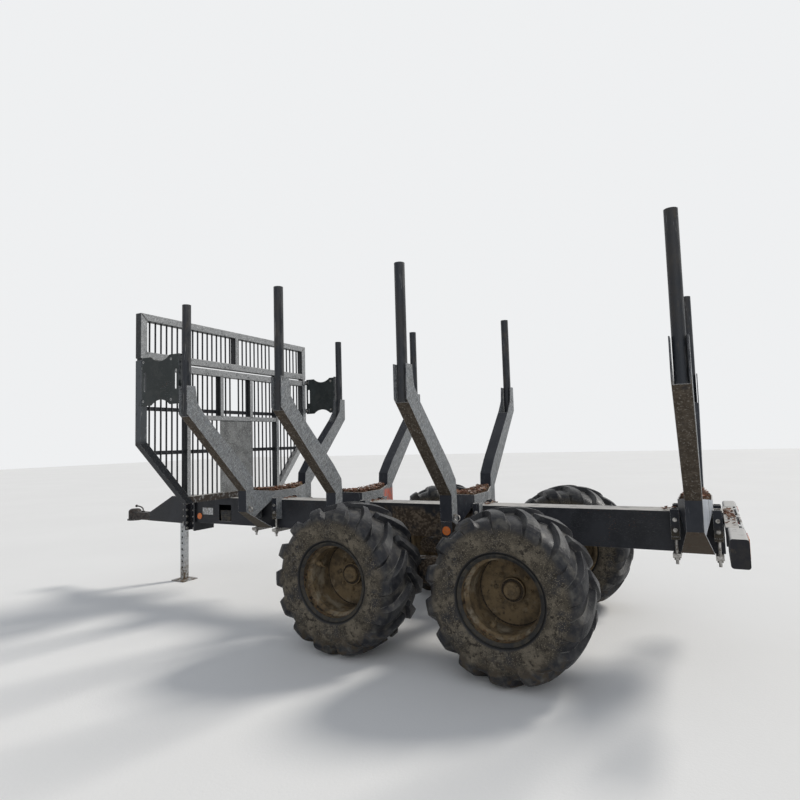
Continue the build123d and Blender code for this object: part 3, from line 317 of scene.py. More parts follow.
def weathered(finish, dust=1.0, scratches=(1.0, 1.0, 14.0)):
    """Dust on top, fine scratches, chipped spots and rubbed edges, as on all the painted steel."""
    first = finish.colour[:3]
    finish.patches((0.35, 0.42, 0.66), tuple(c * 1.6 + 0.003 for c in first), 0.45)
    scratch = finish.both(finish.grain(0.05, 0.62, 0.66, scratches, 3.0), finish.grain(0.4, 0.45, 0.6))
    finish.coat(scratch, (0.085, 0.085, 0.085), 0.5)
    chips = finish.both(finish.flecks(0.03, 0.05, 0.22, (1.0, 1.0, 2.5)), finish.grain(0.2, 0.52, 0.62))
    finish.coat(chips, RUST, 0.8)
    dusty = finish.both(finish.towards(UP, 0.35, 0.9), finish.grain(0.10, 0.10, 0.55))
    finish.coat(finish.both(dusty, dust), PALE_DUST, 0.85)
    worn = finish.both(finish.edges(0.005), finish.grain(0.06, 0.38, 0.60))
    finish.coat(worn, BARE_STEEL, 0.45)
    finish.texture(0.004, 0.0003)
    finish.relief(chips, -0.0008)
    return finish


def muddy(finish, cover, size=0.16):
    """Dark mud under a paler dry crust."""
    caked = finish.both(cover, finish.grain(size, 0.34, 0.52))
    finish.coat(caked, DARK_MUD, 0.95)
    dry = finish.both(caked, finish.grain(size / 6, 0.44, 0.60))
    finish.coat(dry, BROWN_DUST, 0.95)
    finish.relief(finish.both(caked, finish.grain(0.015, 0.3, 0.7)), 0.006)
    return finish


paint = weathered(Finish("anthracite_beam_paint", ANTHRACITE, 0.34), 0.9, (3.0, 3.0, 40.0))
on_sides = paint.along(DOWN, -1.07, -1.0)
muddy(paint, paint.both(on_sides, paint.between(AHEAD, MUDDY_FROM, MUDDY_TO, 0.12)))
beam_paint = paint.done()
finish_node("main_beam", beam_paint, 0.004)

plate = bmesh.new()
x, z, length, height = NAME_PLATE
block(plate, (x, beam_high.y + 0.0005, z), (length, 0.0015, height))
for dx in (RIVET_INSET - length / 2, length / 2 - RIVET_INSET):
    for dz in (RIVET_INSET - height / 2, height / 2 - RIVET_INSET):
        place = Matrix.Translation((x + dx, beam_high.y + 0.0012, z + dz))
        bmesh.ops.create_uvsphere(plate, u_segments=12, v_segments=8, radius=RIVET_RADIUS,
                                  matrix=place @ Matrix.Diagonal((1.0, 0.5, 1.0, 1.0)))
metal = Finish("scuffed_plate_metal", (0.42, 0.43, 0.44), 0.4, 0.8)
metal.patches((0.02, 0.42, 0.62), (0.20, 0.19, 0.18), 0.65)
metal.patches((0.05, 0.55, 0.68), BROWN_DUST, 0.9)
metal.texture(0.003, 0.0002)
add_piece("blank_plate", plate, metal.done())

# The drawbar bracket joins the beam to the drawbar with two flanges and two webs. Rows of zinc-plated
# bolts with nuts and washers go through both pairs of flanges.
BOLT_HEIGHTS = (0.715, 0.775, 0.850, 0.925, 1.000, 1.050)
BOLT_OUT = 0.012
BOLT_RADIUS = 0.0125
FLANGE = 0.022
ZINC = (0.40, 0.39, 0.37)
bracket_low, bracket_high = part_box("drawbar_bracket")
drawbar_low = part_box("drawbar")[0]


def lay_along(way):
    """Turns a shape drawn about Z so that it points a given way."""
    return Vector(way).to_track_quat("Z", "Y").to_matrix().to_4x4()


def disc(mesh, spot, way, radius, depth, sides=24, top=None):
    """A round or hexagonal block that stands on a spot."""
    place = Matrix.Translation(spot) @ lay_along(way) @ Matrix.Translation((0.0, 0.0, depth / 2))
    bmesh.ops.create_cone(mesh, cap_ends=True, segments=sides, radius1=radius,
                          radius2=radius if top is None else top, depth=depth, matrix=place)


def bolt(mesh, spot, way, radius, nut=False):
    """A washer and a hexagon head with a turned face, or a nut with the bolt's end."""
    way = Vector(way)
    spot = Vector(spot)
    disc(mesh, spot - way * 0.001, way, radius * 1.25, radius * 0.2 + 0.001)
    disc(mesh, spot + way * radius * 0.2, way, radius, radius * 0.8, 6)
    disc(mesh, spot + way * radius * 0.2, way, radius * 0.82, radius * 0.88)
    if nut:
        disc(mesh, spot + way * radius * 0.9, way, radius * 0.52, radius * 0.65, 16)


zinc = (Finish("dull_zinc", ZINC, 0.42, 0.9)
        .patches((0.02, 0.42, 0.66), (0.22, 0.21, 0.20), 0.6)
        .patches((0.03, 0.56, 0.66), BROWN_DUST, 0.9)
        .specks((0.006, 0.05, 0.3), (0.04, 0.50, 0.62), RUST, 0.85)
        .texture(0.002, 0.0002)
        .done())

bracket_bolts = bmesh.new()
for side in (1, -1):
    y = side * (bracket_high.y - BOLT_OUT)
    for height in BOLT_HEIGHTS:
        bolt(bracket_bolts, (bracket_low.x + FLANGE, y, height), AHEAD, BOLT_RADIUS, nut=True)
        bolt(bracket_bolts, (bracket_high.x - FLANGE, y, height), BACK, BOLT_RADIUS)
        if height > drawbar_low.z + BOLT_RADIUS:
            bolt(bracket_bolts, (bracket_high.x + FLANGE, y, height), AHEAD, BOLT_RADIUS, nut=True)
add_piece("bracket_bolts", bracket_bolts, zinc)

# The drawbar is a box of welded plate that tapers towards its nose. Its top is scratched and dusty. The
# jack's sleeve is welded to its right side, and the bracket has the same paint.
paint = weathered(Finish("drawbar_paint", ANTHRACITE, 0.36), 0.9, (3.0, 40.0, 3.0))
paint.patches((0.08, 0.35, 0.6), BROWN_DUST, 0.95, within=paint.towards(DOWN, 0.2, 0.8))
paint.patches((0.10, 0.56, 0.70), (0.040, 0.036, 0.029), 0.8)
drawbar_paint = paint.done()
for part in ("drawbar_bracket", "drawbar", "jack_sleeve"):
    finish_node(part, drawbar_paint, 0.003)

# The coupling is a forged cup with a turned lip, left as dark scale with polished wear and grease round
# its mouth. Four bolts hold its plate, and a spring lever with a knob locks the ball.
COUPLING_BOLTS = ((-0.0655, 0.025), (-0.0655, 0.080), (0.0655, 0.025), (0.0655, 0.080))
COUPLING_BOLT_RADIUS = 0.0075
COUPLING_PLATE = 0.025
NECK_FOOT, NECK_HEIGHT = 0.024, 0.092
LEVER_FOOT = -0.16
LEVER_WIRE, KNOB_RADIUS = 0.008, 0.017
LEVER_PATH = ((-0.16, 0.0, 0.010), (-0.15, 0.0, 0.045), (-0.10, 0.0, 0.066), (-0.03, 0.0, 0.072))
coupling_low, coupling_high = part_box("ball_coupling")
forged = Finish("forged_scale", (0.060, 0.054, 0.050), 0.55, 0.6)
forged.patches((0.03, 0.40, 0.66), (0.030, 0.028, 0.027), 0.7)
forged.coat(forged.both(forged.grain(0.05, 0.52, 0.64), forged.flecks(0.012, 0.0, 0.5)), RUST, 0.85)
forged.worn_edges(0.006, (0.05, 0.3, 0.6), BARE_STEEL, 0.35)
forged.patches((0.05, 0.3, 0.55), (0.012, 0.011, 0.010), 0.25, within=forged.towards(DOWN, 0.1, 0.7))
forged.texture(0.006, 0.0006)
forged = forged.done()
finish_node("ball_coupling", forged, 0.003)


def smooth_curve(points, steps):
    """Points on a smooth line through the given ones."""
    line = []
    for i in range(len(points) - 1):
        a = Vector(points[max(i - 1, 0)])
        b = Vector(points[i])
        c = Vector(points[i + 1])
        d = Vector(points[min(i + 2, len(points) - 1)])
        for step in range(steps):
            t = step / steps
            line.append(0.5 * (2 * b + (c - a) * t + (2 * a - 5 * b + 4 * c - d) * t * t
                               + (3 * b - a - 3 * c + d) * t ** 3))
    line.append(Vector(points[-1]))
    return line


def ring_points(mesh, place, radius, sides):
    """A ring of points about the Z axis of a place."""
    angles = [2 * pi * k / sides for k in range(sides)]
    return [mesh.verts.new(place @ Vector((radius * cos(a), radius * sin(a), 0.0)))
            for a in angles]


def skin(mesh, rings, endless=False):
    """Joins rings of points with faces. The ends are capped, or the last ring meets the first."""
    count = len(rings[0])
    for one, other in zip(rings, rings[1:] + rings[:1] * endless):
        for k in range(count):
            mesh.faces.new((one[k], one[(k + 1) % count], other[(k + 1) % count], other[k])).smooth = True
    if not endless:
        mesh.faces.new(rings[0])
        mesh.faces.new(rings[-1])


def hoop(mesh, place, radius, wire, steps, sides):
    """A closed ring of round wire about the Z axis of a place."""
    section = Matrix.Translation((radius, 0.0, 0.0)) @ Matrix.Rotation(radians(90), 4, "X")
    rings = []
    for k in range(steps):
        turn = Matrix.Rotation(2 * pi * k / steps, 4, "Z")
        rings.append(ring_points(mesh, place @ turn @ section, wire, sides))
    skin(mesh, rings, True)


def rod_along(mesh, points, radius, sides=12):
    """A round rod bent along a smooth line, with closed ends."""
    line = smooth_curve(points, 8)
    rings = []
    for i, spot in enumerate(line):
        way = line[min(i + 1, len(line) - 1)] - line[max(i - 1, 0)]
        rings.append(ring_points(mesh, Matrix.Translation(spot) @ lay_along(way), radius, sides))
    skin(mesh, rings)


lever = bmesh.new()
top_of_neck = Vector((coupling_high.x - 0.092, 0.0, drawbar_low.z + NECK_FOOT + NECK_HEIGHT))
rod_along(lever, [top_of_neck + Vector(p) for p in LEVER_PATH], LEVER_WIRE)
bmesh.ops.create_uvsphere(lever, u_segments=20, v_segments=12, radius=KNOB_RADIUS,
                          matrix=Matrix.Translation(top_of_neck + Vector(LEVER_PATH[-1])))
disc(lever, top_of_neck + Vector((LEVER_FOOT, 0.0, -0.002)), UP, 0.022, 0.016)
add_piece("coupling_lever", lever, forged)
coupling_bolts = bmesh.new()
for y, z in COUPLING_BOLTS:
    bolt(coupling_bolts, (coupling_low.x + COUPLING_PLATE, y, drawbar_low.z + NECK_FOOT + z), AHEAD,
         COUPLING_BOLT_RADIUS)
add_piece("coupling_bolts", coupling_bolts, zinc)

# The parking jack is a galvanised square leg with a welded foot. It slides in a sleeve on the drawbar and
# is held by a pin through both, with a spring clip. The holes in its sides that set its height are thin
# near-black discs, painted shade in place of open holes.
JACK_HOLES = 7
JACK_HOLE_FIRST, JACK_HOLE_PITCH = 0.16, 0.075
JACK_HOLE_RADIUS = 0.012
JACK_SIDE = 0.0348
CLIP_WIRE = 0.0022
jack_low, jack_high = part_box("jack_leg")
pin_low, pin_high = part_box("jack_pin")
metal = Finish("galvanised_steel", (0.40, 0.41, 0.42), 0.38, 0.85)
metal.coat(metal.flecks(0.02, 0.0, 0.9), (0.30, 0.31, 0.32), 0.5)
metal.patches((0.08, 0.52, 0.66), (0.16, 0.15, 0.14), 0.7)
metal.patches((0.04, 0.35, 0.6), BROWN_DUST, 0.95, within=metal.along(DOWN, -0.35, -0.02))
metal.relief(metal.flecks(0.012, 0.0, 0.9), 0.0003)
galvanised = metal.done()
finish_node("jack_leg", galvanised, 0.002)
finish_node("jack_pin", zinc)
jack_holes = bmesh.new()
jack_x = (jack_low.x + jack_high.x) / 2
jack_y = (jack_low.y + jack_high.y) / 2
for n in range(JACK_HOLES):
    for side in (1, -1):
        spot = (jack_x, jack_y + side * JACK_SIDE, JACK_HOLE_FIRST + n * JACK_HOLE_PITCH)
        disc(jack_holes, spot, (0, side, 0), JACK_HOLE_RADIUS, 0.0006)
# The hole discs are painted shade in place of open holes.
painted_hole_shade = Finish("painted_hole_shade", (0.008, 0.008, 0.008), 0.9)
painted_hole_shade.patches((0.01, 0.4, 0.6), (0.02, 0.018, 0.015))
add_piece("jack_leg_holes", jack_holes, painted_hole_shade.done())
jack_clip = bmesh.new()
clip_y = pin_high.y - 0.008
clip_path = ((0.000, pin_low.z - 0.035), (0.000, pin_high.z + 0.012), (0.012, pin_high.z + 0.026),
             (0.024, pin_high.z + 0.010), (0.014, pin_low.z - 0.004), (0.020, pin_low.z - 0.030))
rod_along(jack_clip, [(jack_x + dx, clip_y, z) for dx, z in clip_path], CLIP_WIRE, 8)
add_piece("jack_pin_clip", jack_clip, zinc)

# The wheel chock is a black moulded wedge that stands in the beam's pocket, held by its own weight. Level
# ribs stand on its outer face.
CHOCK_RIBS = 5
CHOCK_RIB_FIRST, CHOCK_RIB_PITCH = 0.022, 0.026
chock_low, chock_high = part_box("wheel_chock")
plastic = Finish("black_moulded_plastic", (0.022, 0.022, 0.023), 0.5)
plastic.patches((0.05, 0.42, 0.62), (0.075, 0.066, 0.052), 0.85)
plastic.coat(plastic.edges(0.004), (0.09, 0.09, 0.09), 0.6)
plastic.texture(0.002, 0.0002)
chock_plastic = plastic.done()
finish_node("wheel_chock", chock_plastic, 0.003)
chock_ribs = bmesh.new()
for n in range(CHOCK_RIBS):
    z = chock_low.z + CHOCK_RIB_FIRST + n * CHOCK_RIB_PITCH
    block(chock_ribs, ((chock_low.x + chock_high.x) / 2, chock_high.y + 0.001, z),
          (chock_high.x - chock_low.x - 0.05, 0.006, 0.007))
add_piece("chock_ribs", chock_ribs, chock_plastic)

# The four bunks carry the logs. Each is cut from plate: front and rear plates that are wide over the beam,
# closed arms, sloped bottom plates and hangers, all welded. Their backs are rubbed pale by timber, and the
# same pale coat on the far sloped plates and on the first and last bunks' near sloped plates is painted
# sunlight, while the other near sloped plates stay dark as painted shade. Their undersides are brown, and
# their troughs hold dry leaves. The second one has an old patch of red paint.
BUNK_PAINT = (0.013, 0.015, 0.021)
BUNK_PALE = (0.30, 0.31, 0.31)
BUNK_GREY = (0.150, 0.155, 0.158)
SCRATCH_GREY = (0.085, 0.090, 0.095)
BARK_BROWN = (0.046, 0.036, 0.026)
UNDER_RUST = (0.070, 0.046, 0.033)
RED_PAINT = (0.52, 0.13, 0.085)
LEAF_BED, BED_RISE, BED_CROWN = 0.150 - 0.045, 0.030, 0.022
TROUGH_HALF, TROUGH_END_HALF = 0.100, 0.042
TROUGH_NARROWS = (0.18, 0.43)
TROUGH_REACH = 0.405
LEAVES, LOOSE_LEAVES = 420, 26
LEAF_LENGTH = (0.022, 0.045)
RINGED_BUNKS = (1, 3)
EYE_RADIUS, EYE_WIRE = 0.024, 0.0055
EYE_SPOT = (-0.083, 0.505, 1.015)
paint = Finish("worn_and_sunlit_bunk_paint", BUNK_PAINT, 0.36)
paint.patches((0.35, 0.42, 0.66), (0.024, 0.026, 0.032), 0.42)
paint.patches((0.2, 0.45, 0.6), SCRATCH_GREY, 0.5,
              within=paint.grain(0.012, 0.60, 0.64, (1.0, 1.0, 0.12), 3.0))
outward = paint.both_ways(LEFT, 0.25, 0.75)
under = paint.towards(DOWN, 0.12, 0.40)
paint.patches((0.09, 0.10, 0.44), BARK_BROWN, 0.85, within=under)
paint.patches((0.03, 0.38, 0.74), (0.090, 0.073, 0.056), 0.9, within=under)
paint.patches((0.012, 0.57, 0.66), (0.17, 0.155, 0.135), 0.8, within=under)
at_rear = paint.along(BACK, 2.9, 3.0)
bottoms = paint.both(paint.towards(DOWN, 0.72, 0.92), at_rear)
paint.patches((0.05, 0.34, 0.56, (1.0, 3.0, 1.0)), UNDER_RUST, 0.9, within=bottoms)
facing_front = paint.both(outward, paint.towards(AHEAD, 0.2, 0.4))
paint.patches((0.08, 0.25, 0.55), (0.085, 0.078, 0.068), 0.8, within=facing_front)
low_down = paint.both(outward, paint.along(DOWN, -1.00, -0.92))
paint.patches((0.06, 0.25, 0.50), (0.062, 0.053, 0.040), 0.9, within=low_down)
# On the backs the pale coats below are rubbed wear; on the far sloped plates and on the first and last
# bunks' near sloped plates they are painted sunlight, and the other near sloped plates stay dark as painted
# shade.
near_slant = paint.towards((-0.972, 0.233, 0.0), 0.985, 0.995)
front_bunk = paint.along(AHEAD, 0.8, 0.85)
behind = paint.either(paint.towards((-0.972, -0.233, 0.0), 0.960, 0.968),
                      paint.both(near_slant, paint.either(at_rear, front_bunk)))
paint.patches((0.12, 0.05, 0.40), BUNK_GREY, 0.55, within=behind)
paint.patches((0.05, 0.43, 0.62), (0.155, 0.165, 0.175), 0.6, within=behind)
paint.patches((0.03, 0.58, 0.70, (1.0, 1.0, 0.5)), (0.075, 0.072, 0.068), 0.6, within=behind)
for lean in (0.6, -0.9, 2.2):
    turned = paint.step("ShaderNodeVectorRotate", {"Vector": paint.place, "Angle": lean},
                        rotation_type="X_AXIS")
    squeezed = paint.vector("MULTIPLY", turned, (1.0, 1.0, 0.10))
    lines = paint.step("ShaderNodeTexNoise", {"Vector": squeezed, "Scale": 150.0, "Detail": 1.0})
    paint.coat(paint.both(behind, paint.spread(lines, 0.63, 0.67)), BUNK_PALE, 0.5)
paint.patches((0.012, 0.54, 0.61), BUNK_PALE, 0.6, within=behind)
# Pale blue-grey streaks on the last bunk's near sloped plate are a painted highlight.
paint.patches((0.03, 0.20, 0.55, (1.0, 1.0, 0.15)), (0.44, 0.46, 0.49), 0.45,
              within=paint.both(near_slant, at_rear))
patch = paint.both(paint.between(AHEAD, -0.30, -0.17, 0.015), paint.between(LEFT, -0.55, -0.29, 0.02))
patch = paint.both(patch, paint.between(UP, 1.03, 1.165, 0.015))
paint.patches((0.025, 0.34, 0.56, (1.0, 1.0, 0.4)), RED_PAINT, 0.5, within=patch)
flat_tops = paint.towards(UP, 0.75, 0.97)
paint.patches((0.10, 0.10, 0.50), PALE_DUST, 0.85, within=flat_tops)
chips = paint.both(paint.flecks(0.03, 0.04, 0.20), paint.grain(0.2, 0.54, 0.64))
paint.coat(chips, RUST, 0.8)
paint.worn_edges(0.005, (0.06, 0.30, 0.52), (0.50, 0.50, 0.50), 0.4)
paint.texture(0.004, 0.0003)
bunk_paint = paint.done()

leaf_skin = Finish("dry_leaves", (0.20, 0.095, 0.060), 0.7)
tint = leaf_skin.tree.nodes.new("ShaderNodeNewGeometry").outputs["Random Per Island"]
for low, high, colour in ((0.30, 0.34, (0.30, 0.165, 0.105)), (0.55, 0.59, (0.11, 0.055, 0.036)),
                          (0.68, 0.72, (0.56, 0.44, 0.37)), (0.965, 0.975, (0.36, 0.30, 0.08))):
    leaf_skin.coat(leaf_skin.spread(tint, low, high), colour)
leaf_skin.patches((0.01, 0.52, 0.70), (0.075, 0.045, 0.030))
leaf_skin.texture(0.004, 0.0006)
leaf_skin = leaf_skin.done()
leaf_mould = Finish("leaf_mould", (0.050, 0.032, 0.020), 0.95)
leaf_mould.patches((0.02, 0.42, 0.58), (0.11, 0.060, 0.032))
leaf_mould.coat(leaf_mould.flecks(0.012, 0.1, 0.35), (0.018, 0.014, 0.011))
leaf_mould.texture(0.01, 0.006)
leaf_mould = leaf_mould.done()


def leaf(mesh, spot, length, chance):
    """A dry leaf: a pointed oval, folded along its rib and curled."""
    width = length * chance.uniform(0.45, 0.75)
    turn = Matrix.Translation(spot)
    for axis, low, high in (("Z", 0, 2 * pi), ("X", -0.6, 0.6), ("Y", -0.5, 0.5)):
        turn = turn @ Matrix.Rotation(chance.uniform(low, high), 4, axis)
    curl = chance.uniform(0.1, 0.5) * length
    rib, left, right = [], [], []
    for t, w in ((-0.5, 0.0), (-0.22, 0.42), (0.1, 0.5), (0.34, 0.28), (0.5, 0.0)):
        lift = curl * (t * t * 2.0)
        rib.append(mesh.verts.new(turn @ Vector((t * length, 0.0, lift))))
        if w:
            left.append(mesh.verts.new(turn @ Vector((t * length, w * width, lift + w * width * 0.45))))
            right.append(mesh.verts.new(turn @ Vector((t * length, -w * width, lift + w * width * 0.45))))
    for edge in (left, right):
        mesh.faces.new((rib[0], edge[0], rib[1]))
        mesh.faces.new((rib[1], edge[0], edge[1], rib[2]))
        mesh.faces.new((rib[2], edge[1], edge[2], rib[3]))
        mesh.faces.new((rib[3], edge[2], rib[4]))


def leafy(name, mesh):
    """Leaves get the thickness of paper."""
    piece = add_piece(name, mesh, leaf_skin, smooth=0.0)
    piece.modifiers.new("thickness", "SOLIDIFY").thickness = 0.0008


def trough_width(y):
    """Half the width inside the trough, at a distance from its middle."""
    share = min(max((abs(y) - TROUGH_NARROWS[0]) / (TROUGH_NARROWS[1] - TROUGH_NARROWS[0]), 0.0), 1.0)
    return TROUGH_HALF + (TROUGH_END_HALF - TROUGH_HALF) * share


def bed_height(y):
    """Height of the leaves above the beam, at a distance from the trough's middle."""
    return LEAF_BED + BED_RISE * abs(y) / TROUGH_REACH


chance = random.Random(41)
for number in (1, 2, 3, 4):
    finish_node(f"bunk_{number}", bunk_paint, 0.003)
    low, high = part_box(f"bunk_{number}")
    middle_x = (low.x + high.x) / 2
    bed = bmesh.new()
    rows = []
    for j in range(49):
        y = TROUGH_REACH * (j / 24 - 1)
        half = trough_width(y)
        row = []
        for share in (i / 6 - 1 for i in range(13)):
            z = beam_high.z + bed_height(y) + BED_CROWN * cos(share * 1.2) + chance.uniform(-0.007, 0.007)
            row.append(bed.verts.new((middle_x + half * share, y, z - 0.03)))
        rows.append(row)
    for one, other in zip(rows, rows[1:]):
        for i in range(12):
            bed.faces.new((one[i], one[i + 1], other[i + 1], other[i])).smooth = True
    mould = add_piece(f"leaf_mould_{number}", bed, leaf_mould, smooth=0.0)
    mould.modifiers.new("thickness", "SOLIDIFY").thickness = 0.01
    leaves = bmesh.new()
    for n in range(LEAVES):
        y = chance.uniform(-TROUGH_REACH, TROUGH_REACH)
        half = trough_width(y) - 0.012
        x = middle_x + chance.uniform(-half, half)
        spot = (x, y, beam_high.z + bed_height(y) + chance.uniform(-0.015, 0.012))
        leaf(leaves, spot, chance.uniform(*LEAF_LENGTH), chance)
    for n in range(LOOSE_LEAVES):
        end = chance.choice((-1, 1))
        x = middle_x + end * chance.uniform(0.135, 0.23)
        spot = (x, chance.uniform(-0.11, 0.11), beam_high.z + 0.008)
        if beam_low.x < x < beam_high.x:
            leaf(leaves, spot, chance.uniform(*LEAF_LENGTH), chance)
    leafy(f"leaves_{number}", leaves)
    if number in RINGED_BUNKS:
        rings = bmesh.new()
        for side in (1, -1):
            eye = Vector((middle_x + EYE_SPOT[0], side * EYE_SPOT[1], EYE_SPOT[2]))
            hoop(rings, Matrix.Translation(eye) @ Matrix.Rotation(radians(90), 4, "X"),
                 EYE_RADIUS, EYE_WIRE, 24, 10)
            block(rings, eye + Vector((0.020, 0.0, 0.022)), (0.028, 0.012, 0.024))
        add_piece(f"lashing_rings_{number}", rings, zinc)

# Each bunk is clamped over the beam by two bars with threaded rods and nuts, all zinc plated. Two bolts
# hold each hanger's cover.
COVER_BOLTS = (1.027, 0.950)
COVER_FACE = 0.214
HANGER_OUT = 0.140
for number in (1, 2, 3, 4):
    finish_node(f"clamps_{number}", zinc, 0.0015)
    low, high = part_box(f"bunk_{number}")
    middle_x = (low.x + high.x) / 2
    cover_bolts = bmesh.new()
    for x in (middle_x - HANGER_OUT, middle_x + HANGER_OUT):
        for side in (-1, 1):
            for z in COVER_BOLTS:
                bolt(cover_bolts, (x, side * COVER_FACE, z), (0, side, 0), BOLT_RADIUS)
    add_piece(f"cover_bolts_{number}", cover_bolts, zinc)

# The stake poles are thick steel tubes that stand in the arms' sockets. Their dark paint has rubbed brown
# patches all over, and a paler grey on their rear faces is painted sunlight.
paint = Finish("rubbed_and_sunlit_pole_paint", (0.018, 0.021, 0.026), 0.32)
paint.patches((0.12, 0.40, 0.70, (1.0, 1.0, 0.35)), (0.032, 0.030, 0.029), 0.42)
paint.patches((0.3, 0.46, 0.68), (0.066, 0.057, 0.048), 0.7,
              within=paint.grain(0.03, 0.52, 0.66, (1.0, 1.0, 0.25)))
paint.patches((0.02, 0.63, 0.67, (1.0, 1.0, 0.06), 3.0), (0.13, 0.13, 0.13), 0.45)
paint.worn_edges(0.006, (0.05, 0.35, 0.6), BARE_STEEL, 0.45)
# The paler grey on the rear faces is painted sunlight.
paint.patches((0.06, 0.40, 0.70, (1.0, 1.0, 0.3)), (0.075, 0.074, 0.073), 0.45,
              within=paint.towards(BACK, 0.4, 0.9))
paint.relief(paint.grain(0.005, 0.3, 0.7, (1.0, 1.0, 0.3)), 0.0006)
pole_paint = paint.done()
for number in (1, 2, 3, 4):
    finish_node(f"stake_poles_{number}", pole_paint, 0.003)

# The headboard has an upper and a lower frame of welded square tube, a sheet in the middle bay and round
# bars in the others. The tubes are rubbed down to a pale worn grey, the bars keep their dark paint, and
# pale patches on the bars' side turned to the key lamp are a painted highlight. Weld beads show at the
# tubes' joints.
HEAD_GREY = (0.31, 0.315, 0.315)
HEAD_WORN = (0.56, 0.565, 0.56)
TUBE, HEAD_DEPTH = 0.070, 0.080
KNEE_HEIGHT = 1.700
FOOT_HALF = 0.735
HEAD_DARK = (0.018, 0.020, 0.022)
BEAD = 0.0045
head_low, head_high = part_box("headboard_lower")
upper_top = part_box("headboard_upper")[1].z
paint = Finish("worn_and_shaded_headboard_paint", HEAD_DARK, 0.45)
rubbed = paint.either(paint.grain(0.09, 0.24, 0.46), paint.grain(0.02, 0.40, 0.58))
front_or_rear = paint.both_ways(BACK, 0.4, 0.9)
paint.coat(paint.both(front_or_rear, rubbed), HEAD_GREY, 0.6)
paint.patches((0.012, 0.56, 0.64), HEAD_WORN, 0.5, within=front_or_rear)
outward = Vector((0.0, KNEE_HEIGHT - head_low.z, FOOT_HALF - head_high.y)).normalized()
reach = outward.y * head_high.y + outward.z * KNEE_HEIGHT
lower_frame = paint.less(paint.along(UP, head_high.z - 0.004, head_high.z + 0.004))
post_face = head_high.y - TUBE
near_post = paint.both(paint.along(LEFT, post_face - 0.002, post_face + 0.002), lower_frame)
# The near diagonal tube below the knee gets darker navy patches: a painted shadow.
near_slope = paint.both(paint.along(outward, reach - TUBE - 0.002, reach - TUBE + 0.002),
                        paint.along(DOWN, -KNEE_HEIGHT - 0.06, -KNEE_HEIGHT))
foot_rail = paint.along(DOWN, -head_low.z - TUBE - 0.002, -head_low.z - TUBE + 0.002)
paint.patches((0.05, 0.22, 0.46), (0.060, 0.066, 0.072), 0.5, within=near_post)
paint.patches((0.05, 0.28, 0.50), (0.040, 0.031, 0.025), 0.8, within=foot_rail)
paint.patches((0.05, 0.18, 0.36), (0.014, 0.016, 0.019), 0.4, within=near_slope)
paint.patches((0.1, 0.2, 0.5), PALE_DUST, 0.8, within=paint.towards(UP, 0.3, 0.9))
paint.patches((0.02, 0.60, 0.66, (1.0, 2.0, 2.0)), (0.050, 0.048, 0.046), 0.6)
paint.patches((0.009, 0.57, 0.64), (0.075, 0.076, 0.078), 0.6)
paint.specks((0.02, 0.03, 0.22), (0.2, 0.50, 0.60), RUST, 0.8)
paint.worn_edges(0.005, (0.06, 0.38, 0.60), BARE_STEEL, 0.45)
paint.texture(0.004, 0.0003)
head_paint = paint.done()
finish_node("headboard_upper", head_paint, 0.004)
finish_node("headboard_lower", head_paint, 0.004)

paint = Finish("worn_sheet_paint", (0.215, 0.22, 0.215), 0.5)
paint.patches((0.12, 0.40, 0.62), (0.135, 0.138, 0.136), 0.5)
paint.patches((0.03, 0.57, 0.66, (1.0, 1.0, 5.0)), (0.10, 0.095, 0.09), 0.6)
paint.specks((0.03, 0.02, 0.20), (0.2, 0.50, 0.60), RUST, 0.8)
paint.patches((0.012, 0.54, 0.64), (0.36, 0.365, 0.36), 0.5)
paint.patches((0.02, 0.60, 0.66, (1.0, 2.0, 0.6)), (0.060, 0.062, 0.064), 0.6)
paint.texture(0.15, 0.002)
paint.texture(0.004, 0.0003)
finish_node("headboard_plate", paint.done())

paint = weathered(Finish("dark_bar_paint", (0.016, 0.017, 0.020), 0.4), 0.8, (1.0, 1.0, 0.2))
# Pale patches on the bars' side turned to the key lamp are a painted highlight.
paint.patches((0.05, 0.30, 0.55, (1.0, 1.0, 0.4)), (0.34, 0.335, 0.325), 0.5,
              within=paint.towards((-0.55, -0.83, 0.0), 0.75, 0.97))
bar_paint = paint.done()
finish_node("grille_upper", bar_paint)
finish_node("grille_lower", bar_paint)

metal = Finish("painted_weld", (0.075, 0.075, 0.075), 0.45, 0.2)
metal.patches((0.01, 0.42, 0.60), (0.17, 0.165, 0.16), 0.5)
metal.coat(metal.flecks(0.006, 0.05, 0.3), RUST, 0.8)
metal.texture(0.003, 0.0008)
weld_steel = metal.done()


def weld_bead(mesh, start, end, radius=BEAD):
    """A rippled bead of weld metal along a joint."""
    start, end = Vector(start), Vector(end)
    count = max(3, int((end - start).length / (radius * 1.6)))
    turn = lay_along(end - start)
    rings = []
    for n in range(count + 1):
        swell = radius * (0.92 + 0.16 * (n % 2)) * (0.5 if n in (0, count) else 1.0)
        rings.append(ring_points(mesh, Matrix.Translation(start.lerp(end, n / count)) @ turn, swell, 6))
    skin(mesh, rings)


INNER_POST = (0.236 - 0.0225, 0.236 + 0.0225)
OUTER_POST = (0.705 - 0.0225, 0.705 + 0.0225)
MIDDLE_RAIL = (1.960, 2.010)
head_welds = bmesh.new()
for x in (head_high.x - HEAD_DEPTH, head_high.x):
    for side in (1, -1):
        y = side * OUTER_POST[0]
        weld_bead(head_welds, (x, y, MIDDLE_RAIL[0]), (x, y, MIDDLE_RAIL[1]))
        for post, foot in ((INNER_POST, MIDDLE_RAIL[1]), (OUTER_POST, head_low.z + TUBE)):
            for z in (foot, head_high.z - TUBE):
                weld_bead(head_welds, (x, side * post[0], z), (x, side * post[1], z))
        for top in (head_high.z, upper_top):
            weld_bead(head_welds, (x, side * (head_high.y - TUBE), top - TUBE),
                      (x, side * (head_high.y - 1.5 * BEAD), top - 1.5 * BEAD))
add_piece("headboard_welds", head_welds, weld_steel)

